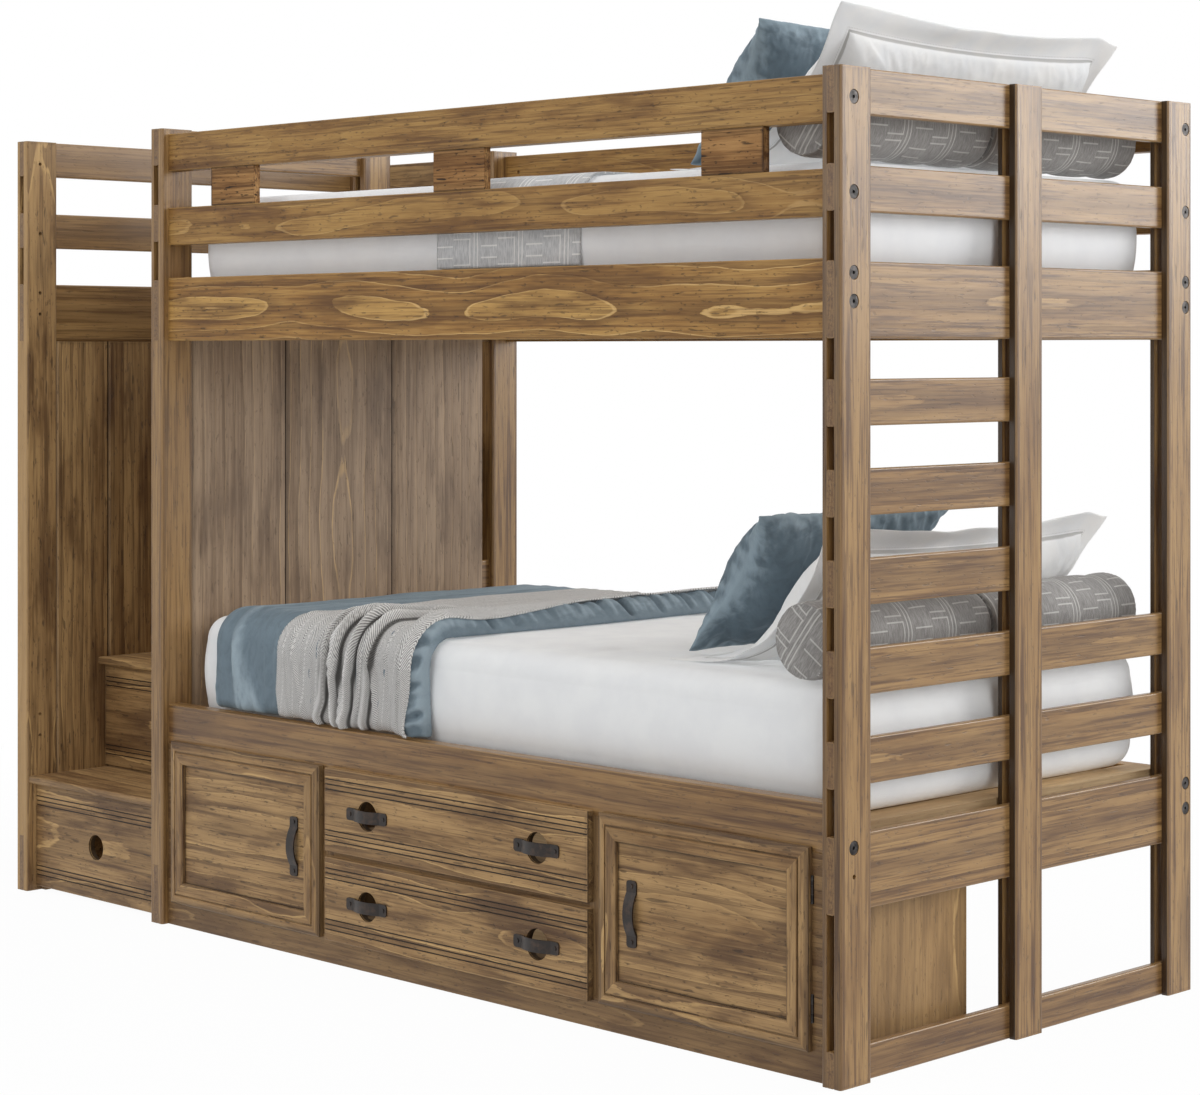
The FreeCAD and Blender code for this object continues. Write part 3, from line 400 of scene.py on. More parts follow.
def grainPlaces(paint, node, grain):
    # along the grain, across the board and into it, the board's number, and how near its edges are
    here = paint.place()
    low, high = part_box(node)
    turn = ["xyz".index(letter) for letter in grain]
    along, across, depth = (here[axis] for axis in turn)
    number, middle, half = ownBoard(across, boardSpans(node, turn[1]))
    sideways = across - middle
    ends = paint.least(along - low[turn[0]], high[turn[0]] - along)
    sides = half - paint.maths("ABSOLUTE", sideways)
    faces = paint.least(depth - low[turn[2]], high[turn[2]] - depth)
    inner = depth - (low[turn[2]] + high[turn[2]]) / 2
    return along, sideways, inner, number, (ends, sides, faces)


def mitredPlaces(paint, node):
    # a door frame: the grain turns at the mitres
    x, y, z = paint.place()
    low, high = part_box(node)
    fromSide = paint.least(x - low.x, high.x - x)
    fromTop = paint.least(z - low.z, high.z - z)
    stile = fromSide < fromTop
    along = x + (z - x) * stile
    nearest = paint.least(fromSide, fromTop)
    sideways = nearest - doorRail / 2
    right = (x > (low.x + high.x) / 2) * 1.0
    upper = (z > (low.z + high.z) / 2) * 1.0
    number = upper * 2 + stile * (3 + right - upper * 2)
    faces = y - low.y
    return along, sideways, faces, number, (nearest, faces, faces + 1)


doorRail = 0.048  # width of a door frame's members
# depths and widths of the painted shade: front grooves, finger holes, wall seams, panel rims and frame mouldings
grooves = {"lip": (0.0004, 0.0014), "floor": (0.0030, 0.0036), "hole": (0.0045, 0.0055),
           "holeInside": (0.008, 0.012), "frontThick": 0.0168, "seam": (0.0014, 0.0048),
           "back": (0.0004, 0.0016), "panelInset": 0.0075, "rim": 0.007, "mould": (0.0012, 0.0030),
           "mouldEnd": (0.0060, 0.0090), "boxFront": (0.02, 0.22)}
# the face frame: where its upright members stand, and the middle lines that its grain runs about
faceFrame = {"uprights": ((-0.161, -0.116), (0.641, 0.686)), "sill": 0.062, "railMiddle": 0.03,
             "postMiddle": -0.02}


def shadedHollows(paint, node, colour, look, inside):
    # painted shade in grooves, seams, finger holes and mouldings, round the panels and inside the drawer box
    # near its front
    x, y, z = paint.place()
    low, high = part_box(node)
    if "drawer_front" in node or node.startswith("step_"):
        depth = y - low.y
        sunk = paint.step(depth, *grooves["lip"]) * (1 - paint.step(depth, *grooves["floor"]))
        colour = paint.blend(sunk * 0.95, colour, look["deep"])
        hole = paint.step(depth, *grooves["hole"]) * (depth < grooves["frontThick"])
        hole = hole * paint.step(inside, *grooves["holeInside"])
        colour = paint.blend(hole * 0.9, colour, look["deep"])
    if "wall_boards" in node:
        sunk = paint.step(high.x - x, *grooves["seam"]) * paint.step(x - low.x, *grooves["back"])
        colour = paint.blend(sunk * 0.9, colour, look["deep"])
    if "door_panel" in node:
        inset = grooves["panelInset"]
        gap = paint.least(x - low.x - inset, high.x - inset - x, z - low.z - inset, high.z - inset - z)
        colour = paint.blend((1 - paint.step(gap, 0.0, grooves["rim"])) * 0.75, colour, look["deep"])
    if "door_frame" in node:
        depth = y - low.y
        sunk = paint.step(depth, *grooves["mould"]) * (1 - paint.step(depth, *grooves["mouldEnd"]))
        colour = paint.blend(sunk * 0.40, colour, look["deep"])
    if "drawer_box" in node:
        colour = paint.blend((1 - paint.step(y - low.y, *grooves["boxFront"])) * 0.75, colour, look["deep"])
    return colour


def wood(node, grain, look, seed):
    material, paint = newMaterial("stained " + node)
    if node.endswith("door_frame"):
        along, sideways, inner, number, gaps = mitredPlaces(paint, node)
    else:
        along, sideways, inner, number, gaps = grainPlaces(paint, node, grain)
        if node == "storage_face_frame":
            x, y, z = paint.place()
            first, second = faceFrame["uprights"]
            upright = (x > first[0]) * (x < first[1]) + (x > second[0]) * (x < second[1])
            upright = upright * (z > faceFrame["sill"])
            along = x + (z - x) * upright
            sideways = z - faceFrame["railMiddle"]
            sideways = sideways + (x - faceFrame["postMiddle"] - sideways) * upright
            number = upright * 3
    shift = number * 3.71 + seed * 1.37
    figure = figured.get(node, 1.0)

    def cloud(name):
        scale, turn, across, inward, detail, rough = grainNoise[name]
        return paint.clouds(along * scale + shift * turn, sideways * across, inner * across + shift * inward,
                            detail, rough)

    drift, swell, heart, ripple = (cloud(name) - 0.5 for name in ("drift", "swell", "heart", "ripple"))
    side = sideways + drift * look["wander"] + swell * look["swell"] * 0.7
    deep = inner + look["heartDepth"] + heart * look["swing"]
    radius = paint.maths("SQRT", side * side + deep * deep)
    rings = (radius + swell * look["swell"]) / look["ringGap"] + ripple * 0.22
    ring = paint.maths("FRACT", rings)
    ringNumber = paint.maths("FLOOR", rings) + shift
    tone = paint.node("ShaderNodeTexWhiteNoise", {"noise_dimensions": "1D"}, {"W": ringNumber})
    late = 1 - paint.step(ring, 0.02, 0.52)  # dark outside each ring's light outline
    glint = paint.step(ring, 0.91, 0.95) * (1 - paint.step(ring, 0.975, 1.0))
    fibre, fine, streak, patch = (cloud(name) for name in ("fibre", "fine", "streak", "patch"))
    speck = paint.step(cloud("speck"), 0.635, 0.69)
    mark = paint.step(cloud("mark"), 0.69, 0.75)

    cell = {"Vector": paint.join(along * 1.7 + shift, sideways * 6.5 + shift, inner * 2), "Scale": 1.0}
    knotPlace = paint.node("ShaderNodeTexVoronoi", {"feature": "F1"}, cell)
    knotPick = paint.apart(Socket(paint, knotPlace.link.node.outputs["Color"]))[0] > 0.66
    knotFar = knotPlace + ripple * 0.03
    knot = (1 - paint.step(knotFar, 0.030, 0.075)) * knotPick
    halo = (1 - paint.step(knotFar, 0.06, 0.26)) * knotPick

    light = (tone - 0.5) * (look["ringSpread"] * figure) + (0.5 - patch) * look["blotch"]
    light = light + (0.5 - streak) * look["streaks"]
    colour = paint.blend(paint.step(light, -0.42, 0.42), look["honey"], look["pale"])
    colour = paint.blend(paint.step(patch, 0.50, 0.68) * look["stain"], colour, look["brown"])
    colour = paint.blend(late * (look["lines"] * figure), colour, look["brown"])
    colour = paint.blend(paint.step(streak, 0.52, 0.68) * look["fibre"], colour, look["brown"])
    colour = paint.blend(paint.step(fine, 0.50, 0.64) * look["fibre"] * 0.8, colour, look["brown"])
    colour = paint.blend(paint.step(fine, 0.46, 0.34) * 0.26, colour, look["pale"])
    shown = paint.step(patch, 0.66, 0.46) * (0.35 + 0.65 * paint.step(drift, -0.06, 0.06))
    colour = paint.blend(glint * shown * (look["glint"] * figure), colour, glintTint)
    colour = paint.blend(paint.step(fibre, 0.52, 0.68) * 0.30, colour, look["brown"])
    colour = paint.blend(halo * 0.6, colour, look["brown"])
    colour = paint.blend(paint.maths("MAXIMUM", knot * 0.9, mark * look["specks"]), colour, look["deep"])
    colour = paint.blend(speck * look["specks"] * 0.8, colour, look["deep"])
    ends, sides, faces = gaps
    colour = shadedHollows(paint, node, colour, look, paint.least(ends, sides))
    nearEdge = paint.maths(
        "MAXIMUM", paint.least(ends, sides), paint.least(paint.maths("MAXIMUM", ends, sides), faces))
    # the edges toned deeper: partly stain gathering at the arrises, partly painted shade along them
    colour = paint.blend((1 - paint.step(nearEdge, 0.002, 0.010)) * 0.28, colour, look["brown"])
    # pale rubbed edges: partly wear, partly a painted highlight along the arrises
    rubAndHighlight = (1 - paint.step(nearEdge, 0.0010, 0.0036)) * paint.step(streak + fibre, 0.75, 1.15)
    if "darkEdge" in look:
        # the edges toned deeper
        edgeDarkening = (1 - paint.step(nearEdge, 0.0015, 0.0040)) * look["darkEdge"]
        colour = paint.blend(edgeDarkening, colour, look["deep"])
        rubAndHighlight = rubAndHighlight * 0.3
    else:
        colour = paint.blend(rubAndHighlight * look["wornAndHighlit"], colour, look["pale"])
    if node in paintedFrontShading:
        # painted shade on the narrow front face, or painted light where the share is below 0
        front = 1 - paint.step(paint.place()[1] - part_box(node)[0].y, 0.0004, 0.0012)
        share = paintedFrontShading[node]
        colour = paint.blend(front * abs(share), colour, look["deep"] if share > 0 else look["pale"])
    # a whole piece's stain tone, or painted shade on storage_face_frame and a painted sheen on storage_carcass
    if node in toneAndPaintedLight:
        share = toneAndPaintedLight[node]
        colour = paint.blend(abs(share), colour, look["brown"] if share > 0 else look["pale"])
    frontPiece = "drawer_front" in node or node.startswith("step_") or "door_frame" in node
    # the end faces toned deeper: the end grain's own stain, and on drawer fronts, steps and door frames painted
    # shade in the gaps round them
    endGrainAndShade = (1 - paint.step(ends, 0.0004, 0.0012)) * (0.38 if frontPiece else 0.35)
    colour = paint.blend(endGrainAndShade, colour, look["deep"] if frontPiece else look["brown"])
    height = fibre * 0.5 + late * 0.35 - speck * 0.6 - mark * 0.8 - knot * 0.3 + streak * 0.25
    rough = look["rough"] + fibre * 0.16 + late * 0.04 - rubAndHighlight * 0.05
    constants = {"Coat Weight": look["coat"], "Coat Roughness": 0.26, "Specular IOR Level": look["shine"]}
    coat(paint, colour, rough, height, look["relief"], constants)
    return material


metals = {
    "bolt": {"light": tint(84, 80, 78), "dark": tint(36, 34, 33), "rough": 0.26, "metal": 0.8},
    "zinc": {"light": tint(188, 190, 192), "dark": tint(138, 141, 145), "rough": 0.28, "metal": 1.0},
}
strapLook = {"light": tint(60, 44, 33), "dark": tint(30, 22, 17), "rough": 0.30}


def metal(name, look, seed):
    material, paint = newMaterial(name)
    x, y, z = paint.place()
    blotch = paint.clouds(x * 90 + seed, y * 90, z * 90, 4.0)
    scratch = paint.clouds(x * 900, y * 140 + seed, z * 300, 3.0)
    colour = paint.blend(paint.step(blotch, 0.35, 0.72), look["dark"], look["light"])
    height = scratch * 0.4 + blotch * 0.6
    rough = look["rough"] + scratch * 0.18 + blotch * 0.08
    coat(paint, colour, rough, height, 0.0003, {"Metallic": look["metal"]})
    return material


def strapFinish(name, upright, seed):
    # dark waxed strap with a fine grain and rubbed patches
    look = strapLook
    material, paint = newMaterial(name)
    x, y, z = paint.place()
    width = x if upright else z
    length = z if upright else x
    blotch = paint.clouds(x * 70 + seed, y * 70, z * 70, 3.0)
    grain = paint.clouds(width * 1100, y * 900, length * 700 + seed, 3.0)
    lengthwise = paint.clouds(width * 420, y * 300, length * 40 + seed, 2.0)
    colour = paint.blend(paint.step(blotch, 0.46, 0.74), look["dark"], look["light"])
    colour = paint.blend(paint.step(lengthwise, 0.52, 0.72) * 0.4, colour, look["dark"])
    rough = look["rough"] + grain * 0.14 + blotch * 0.06
    constants = {"Coat Weight": 0.08, "Coat Roughness": 0.22, "Specular IOR Level": 0.35}
    coat(paint, colour, rough, grain * 0.6 + lengthwise * 0.4, 0.00015, constants)
    return material


def finishFrame():
    grains = {node: grain for grain, members in grainOf.items() for node in members}
    bolts = metal("dark bolt steel", metals["bolt"], 1.0)
    zinc = metal("zinc steel", metals["zinc"], 2.0)
    for seed, (node, piece) in enumerate(sorted(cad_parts.items())):
        for slot in piece.material_slots:
            kind = slot.material.name.split(".")[0]
            if kind in ("stained_wood", "plain_wood"):
                slot.material = wood(node, grains[node], figureOf(node, kind), seed)
            elif kind == "dark_steel":
                slot.material = bolts
            elif kind == "zinc_steel":
                slot.material = zinc
            elif kind == "dark_strap":
                slot.material = strapFinish("strap " + node, "door" in node, seed)
    print("frame finished")


whiteCotton = {"light": tint(238, 239, 239), "shade": tint(233, 234, 235), "thread": 0.0011}
# a lighter copy of the white cotton: painted light for the upper mattress, which lies under the top rails
litCottonCopy = {**whiteCotton, "light": tint(240, 241, 242), "shade": tint(235, 236, 238)}  # under the top rails
pillowCotton = {**whiteCotton, "light": tint(240, 239, 237)}
velvet = {"light": tint(156, 174, 184), "base": tint(90, 107, 118), "dark": tint(52, 64, 73)}
satin = {"light": tint(164, 180, 189), "base": tint(102, 118, 128), "dark": tint(60, 75, 86)}
boxCloth = {"ground": tint(164, 161, 158), "shade": tint(134, 131, 128), "line": tint(208, 206, 202),
            "unit": 0.130, "row": 0.0646, "thread": 0.0016, "weight": 0.0030}
paleBoxCloth = {**boxCloth, "ground": tint(220, 221, 222), "shade": tint(188, 190, 192),
                "line": tint(250, 250, 248)}
ribCloth = {"light": tint(240, 238, 235), "ground": tint(222, 220, 217), "dark": tint(124, 122, 120),
            "rib": 0.0040, "turn": 0.016, "row": 0.036, "dot": 0.0090}


def weave(paint, u, v, thread):
    over = paint.maths("SINE", u * (2 * math.pi / thread))
    under = paint.maths("SINE", v * (2 * math.pi / thread))
    return over * under


def cottonFinish(name, look, seam=None):
    material, paint = newMaterial(name)
    x, y, z = paint.place()
    mottle = paint.clouds(x * 14, y * 14, z * 14, 3.0)
    slub = paint.clouds(x * 700, y * 700, z * 700, 2.0)
    threads = weave(paint, x + y * 0.31, z + y * 0.95, look["thread"])
    colour = paint.blend(paint.step(mottle, 0.3, 0.7), look["shade"], look["light"])
    colour = paint.shade(paint.step(slub, 0.55, 0.8) * 0.10, colour, tint(200, 198, 195))
    height = threads * 0.5 + slub * 0.5
    if seam:
        # the line where the flange is stitched on, darkened as painted shade in its groove, and a row of
        # stitches beside it
        length, width, inset = seam
        u, v = paint.onCloth()
        far = paint.least(u, length - u, v, width - v)
        seamShade = lineAt(paint, far, inset, 0.0040)
        stitch = lineAt(paint, far, inset - 0.006, 0.0022) * (paint.maths("SINE", (u + v) * 1300) > -0.3)
        colour = paint.shade(seamShade * 0.8, colour, tint(176, 173, 170))
        colour = paint.shade(stitch * 0.5, colour, tint(206, 204, 201))
        height = height - seamShade * 4 + stitch * 1.5
    coat(paint, colour, 0.82 + slub * 0.1, height, 0.00018, {"Sheen Weight": 0.12})
    return material


def velvetFinish(name, look, seed, crush):
    material, paint = newMaterial(name)
    x, y, z = paint.place()
    push = paint.clouds(x * 9 + seed, y * 9, z * 9, 2.0) - 0.5
    streaks = paint.clouds(x * 60 + push * 5, y * 22 + seed, z * 34 + push * 4, 4.0, 0.62)
    pile = paint.clouds(x * 900, y * 900, z * 900, 2.0)
    crest = paint.foldLightHere() + (streaks - 0.5) * 0.35
    colour = paint.blend(paint.step(streaks, 0.32, 0.60) * crush + (1 - crush), look["dark"], look["base"])
    # a painted highlight on the fold crests and painted shade in the hollows
    colour = paint.blend(paint.step(crest, 0.56, 1.0) * 0.62, colour, look["light"])
    colour = paint.blend(paint.step(crest, 0.46, 0.05) * 0.90, colour, look["dark"])
    colour = paint.blend(paint.step(pile, 0.5, 0.8) * 0.18, colour, look["dark"])
    constants = {"Sheen Weight": 0.40, "Sheen Roughness": 0.30, "Sheen Tint": look["light"]}
    coat(paint, colour, 0.60 + pile * 0.16, streaks * 0.6 + pile * 0.4, 0.0006, constants)
    return material


def lineAt(paint, value, place, weight):
    return 1 - paint.step(paint.maths("ABSOLUTE", value - place), weight * 0.30, weight * 0.70)


def boxLines(paint, along, across, look):
    # pairs of lines right across, and between them short dashes and open boxes
    unit = look["unit"]
    row = look["row"]
    weight = look["weight"]
    a = along - paint.maths("FLOOR", along / unit) * unit
    c = paint.maths("ABSOLUTE", across - paint.maths("FLOOR", across / row) * row - row / 2)
    firstLine, secondLine = (lineAt(paint, a, unit * share, weight) for share in (0.08, 0.155))
    lines = paint.maths("MAXIMUM", firstLine, secondLine)
    dashes = lineAt(paint, c, row * 0.18, weight) * (a > unit * 0.24) * (a < unit * 0.60)
    sides = lineAt(paint, c, row * 0.40, weight) * (a > unit * 0.62)
    shut = lineAt(paint, a, unit * 0.985, weight) * (c < row * 0.41)
    for more in (dashes, sides, shut):
        lines = paint.maths("MAXIMUM", lines, more)
    return lines


def boxClothFinish(paint, look, along, across):
    lines = boxLines(paint, along, across, look)
    threads = weave(paint, along, across, look["thread"])
    slub = paint.clouds(along * 500, across * 60, along * 3, 3.0)
    mottle = paint.clouds(along * 20, across * 20, along * 5, 2.0)
    colour = paint.blend(paint.step(slub + threads * 0.08, 0.35, 0.65), look["shade"], look["ground"])
    colour = paint.blend(lines * (0.65 + slub * 0.4), colour, look["line"])
    colour = paint.shade(paint.step(mottle, 0.4, 0.7) * 0.12, colour, look["shade"])
    height = threads * 0.4 + lines * 0.8 + slub * 0.3
    coat(paint, colour, 0.84 + slub * 0.1, height, 0.0005, {"Sheen Weight": 0.15})


def bolsterFinish(name, look, axisX, axisZ):
    # the pattern runs along the bolster and round it
    material, paint = newMaterial(name)
    x, y, z = paint.place()
    turn = paint.maths("ARCTAN2", z - axisZ, x - axisX)
    boxClothFinish(paint, look, y + 0.4, turn * 0.072 + 1)
    return material


def bolsterEndFinish(name, look):
    material, paint = newMaterial(name)
    x, y, z = paint.place()
    boxClothFinish(paint, look, x * 0.8 - z * 0.6 + 1, z * 0.8 + x * 0.6 + 1)
    return material


def boxThrowFinish(name, look):
    material, paint = newMaterial(name)
    u, v = paint.onCloth()
    boxClothFinish(paint, look, v + 0.03, u)
    return material


def ribClothFinish(name, look):
    # slanted ribs that change direction, and dotted rows along the cloth
    material, paint = newMaterial(name)
    u, v = paint.onCloth()
    fold = paint.maths("PINGPONG", v, look["turn"])
    ribs = paint.maths("SINE", (u + fold * 1.1) * (2 * math.pi / look["rib"]))
    row = v - paint.maths("FLOOR", v / look["row"]) * look["row"]
    dot = u - paint.maths("FLOOR", u / look["dot"]) * look["dot"]
    dots = lineAt(paint, row, look["row"] / 2, 0.0030) * lineAt(paint, dot, look["dot"] / 2, 0.0050)
    slub = paint.clouds(u * 300, v * 300, u * 2, 3.0)
    colour = paint.blend(paint.step(ribs, -0.6, 0.7), look["dark"], look["ground"])
    colour = paint.blend(paint.step(ribs + slub, 0.9, 1.5), colour, look["light"])
    colour = paint.blend(paint.step(slub, 0.3, 0.7) * 0.35, colour, look["ground"])
    colour = paint.blend(dots * 0.7, colour, tint(236, 234, 231))
    # painted shade in the fold hollows and a painted highlight on the crests
    colour = paint.shade(paint.step(paint.foldLightHere(), 0.46, 0.06) * 0.95, colour, tint(84, 81, 78))
    colour = paint.blend(paint.step(paint.foldLightHere(), 0.60, 0.98) * 0.30, colour, look["light"])
    coat(paint, colour, 0.86 + slub * 0.08, ribs * 0.6 + dots * 0.6 + slub * 0.3, 0.0009, {"Sheen Weight": 0.2})
    return material


def ease(value, start, end):
    share = min(max((value - start) / (end - start), 0.0), 1.0)
    return share * share * (3 - 2 * share)


def swellOf(distance, reach):
    # a round shoulder: 0 at the seam, 1 at reach
    share = min(max(distance / reach, 0.0), 1.0)
    return math.sqrt(1 - (1 - share) ** 2)


def follow(points):
    # the row of numbers at a distance along a line, whose first two are its place, and the line's length
    distances = [0.0]
    for one, two in zip(points, points[1:]):
        distances.append(distances[-1] + math.dist(one[:2], two[:2]))

    def at(distance):
        want = min(max(distance, 0.0), distances[-1])
        number = 0
        while number < len(points) - 2 and distances[number + 1] < want:
            number += 1
        t = (want - distances[number]) / (distances[number + 1] - distances[number])
        return [a + (b - a) * t for a, b in zip(points[number], points[number + 1])]

    return at, distances[-1]


def lineThrough(rows):
    # a smooth line through rows of numbers; gives a row by its share of the length
    dense = []
    last = len(rows) - 1
    for number in range(last):
        before, start, end, after = (rows[min(max(number + k, 0), last)] for k in (-1, 0, 1, 2))
        for part in range(10):
            t = part / 10
            row = []
            for a, b, c, d in zip(before, start, end, after):
                bend = 2 * a - 5 * b + 4 * c - d + t * (3 * (b - c) + d - a)
                row.append(b + 0.5 * t * (c - a + t * bend))
            dense.append(row)
    dense.append(list(rows[-1]))
    at, length = follow(dense)
    return lambda share: at(share * length), length


def pouch(alongCells, acrossCells, twoLayers, where, uvSize=None):
    # a sheet, or two joined at the rim; where(u, v, layer) gives each point's place and relief, the painted
    # light and shade kept on the cloth
    cloth = bmesh.new()
    bmesh.ops.create_grid(cloth, x_segments=alongCells, y_segments=acrossCells, size=0.5)
    if twoLayers:
        raised = bmesh.ops.extrude_face_region(cloth, geom=cloth.faces[:], use_keep_orig=True)
        moved = [item for item in raised["geom"] if isinstance(item, bmesh.types.BMVert)]
        bmesh.ops.translate(cloth, vec=(0, 0, 1), verts=moved)
    bmesh.ops.translate(cloth, vec=(0.5, 0.5, 0), verts=cloth.verts)
    sheetMap = cloth.loops.layers.uv.new("cloth")
    relief = cloth.verts.layers.float.new("relief")
    if uvSize:
        for face in cloth.faces:
            for loop in face.loops:
                loop[sheetMap].uv = (loop.vert.co.x * uvSize[0], loop.vert.co.y * uvSize[1])
    for vert in cloth.verts:
        vert.co, vert[relief] = where(vert.co.x, vert.co.y, vert.co.z)
    bmesh.ops.recalc_face_normals(cloth, faces=cloth.faces)
    return cloth


def smoothed(piece, levels):
    finer = piece.modifiers.new("Finer", "SUBSURF")
    finer.levels = levels
    finer.render_levels = levels


def puffUp(piece, held, rules):
    # blow the piece up a little as real cloth, then keep each point near where it started
    start = [vert.co.copy() for vert in piece.data.vertices]
    group = piece.vertex_groups.new(name="held")
    group.add(held, 1.0, "REPLACE")
    cloth = piece.modifiers.new("Cloth", "CLOTH")
    cloth.settings.quality = 5
    cloth.settings.mass = 0.25
    cloth.settings.tension_stiffness = rules["stiff"]
    cloth.settings.compression_stiffness = rules["stiff"]
    cloth.settings.shear_stiffness = 4
    cloth.settings.bending_stiffness = 0.25
    cloth.settings.use_pressure = True
    cloth.settings.uniform_pressure_force = rules["pressure"]
    cloth.settings.shrink_min = rules["shrink"]
    cloth.settings.effector_weights.gravity = 0
    cloth.settings.vertex_group_mass = "held"
    scene = bpy.context.scene
    for number in range(1, rules["frames"] + 1):
        scene.frame_set(number)
    ready = piece.evaluated_get(bpy.context.evaluated_depsgraph_get())
    ended = [vert.co.copy() for vert in ready.data.vertices]
    piece.modifiers.remove(cloth)
    scene.frame_set(1)
    for vert, before, after in zip(piece.data.vertices, start, ended):
        move = after - before
        if move.length > rules["most"]:
            move = move * (rules["most"] / move.length)
        vert.co = before + move
    piece.data.update()


def settle(piece, node, material):
    # its material, its body and the CAD node that it stands for
    piece.data.materials.clear()
    piece.data.materials.append(material)
    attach(piece, "bed_frame")
    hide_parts(node)


mattress = {"cuts": 103, "band": 12, "corner": 0.070, "edgeIn": 0.056, "edgeDown": 0.056, "belly": 0.008,
            "crown": 0.003, "pucker": 0.0013, "fill": 0.9}


def insetOf(share, size):
    # how far a grid line lies in from the side: close together round the edge, even elsewhere
    steps = (0.5 - abs(share)) * (mattress["cuts"] + 1)
    if steps < mattress["band"]:
        return mattress["edgeIn"] * (1 - math.cos(math.pi / 2 * steps / mattress["band"]))
    rest = (steps - mattress["band"]) / ((mattress["cuts"] + 1) / 2 - mattress["band"])
    return mattress["edgeIn"] + rest * (size / 2 - mattress["edgeIn"])


def makeMattress(name, node, seed):
    low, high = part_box(node)
    size = high - low
    middle = (low + high) / 2
    cube = bmesh.new()
    bmesh.ops.create_cube(cube, size=1)
    bmesh.ops.subdivide_edges(cube, edges=cube.edges[:], cuts=mattress["cuts"], use_grid_fill=True)
    halfX, halfY = size.x / 2, size.y / 2
    corner = mattress["corner"]
    for vert in cube.verts:
        share = vert.co.copy()
        x = math.copysign(halfX - insetOf(share.x, size.x), share.x)
        y = math.copysign(halfY - insetOf(share.y, size.y), share.y)
        overX = (abs(x) - halfX + corner) / corner
        overY = (abs(y) - halfY + corner) / corner
        outward = Vector((math.copysign(1, x), 0, 0))
        if halfY - abs(y) < halfX - abs(x):
            outward = Vector((0, math.copysign(1, y), 0))
        inset = min(halfX - abs(x), halfY - abs(y))
        if overX > 0 and overY > 0:
            roundX = overX * math.sqrt(1 - overY * overY / 2)
            roundY = overY * math.sqrt(1 - overX * overX / 2)
            x = math.copysign(halfX - corner + corner * roundX, x)
            y = math.copysign(halfY - corner + corner * roundY, y)
            inset = corner * (1 - math.hypot(roundX, roundY))
            outward = Vector((math.copysign(roundX, x), math.copysign(roundY, y), 0)).normalized()
        atCorner = 1 - ease(math.hypot(halfX - abs(x), halfY - abs(y)), 0.05, 0.34)
        if abs(share.z) > 0.499:
            down = 0.0
            if inset < mattress["edgeIn"]:
                rest = 1 - inset / mattress["edgeIn"]
                down = mattress["edgeDown"] * (1 - math.sqrt(max(1 - rest * rest, 0)))
            soft = 0.5 + 0.5 * noise.noise(Vector((x * 3.1, y * 3.1, seed)))
            crease = abs(noise.noise(Vector((x * 9, y * 5, seed + 4)))) * (0.3 + atCorner)
            down += mattress["crown"] * (1 - ease(inset, 0.056, 0.24)) * ease(inset, 0.0, 0.056)
            down += (0.0008 * soft + 0.0012 * crease) * ease(inset, 0.0, 0.08)
            place = Vector((x, y, math.copysign(size.z / 2 - down, share.z)))
            place -= outward * mattress["belly"] * (1 - ease(inset, 0.0, 0.10))
        else:
            z = share.z * (size.z - 2 * mattress["edgeDown"])
            bulge = mattress["belly"] * (2 * share.z) ** 2
            run = x + y
            folds = noise.noise(Vector((run * 11, z * 0.8, seed))) + noise.noise(Vector((run * 27, z, seed)))
            folds = (0.5 + 0.4 * folds) * mattress["pucker"] * (0.5 + 0.8 * atCorner)
            place = Vector((x, y, z)) - outward * (bulge + max(folds, 0) * (1 - (2 * share.z) ** 4))
        vert.co = middle + place
    bmesh.ops.remove_doubles(cube, verts=cube.verts, dist=1e-6)
    piece = asObject(cube, name, True)
    look = litCottonCopy if node == "upper_mattress" else whiteCotton
    settle(piece, node, cottonFinish("cotton " + name, look))


bolster = {"steps": 84, "rings": 46, "dent": 0.0022, "puff": 0.0030, "pucker": 0.002, "sleeveFrom": 0.020,
           # the end's outline with its piping: share of the radius, and how far in from the end
           "end": ((0.45, 0.001), (0.80, 0.0025), (0.90, 0.0055), (0.935, 0.0040), (0.965, 0.0065),
                   (0.975, 0.012)),
           "fill": 0.85}


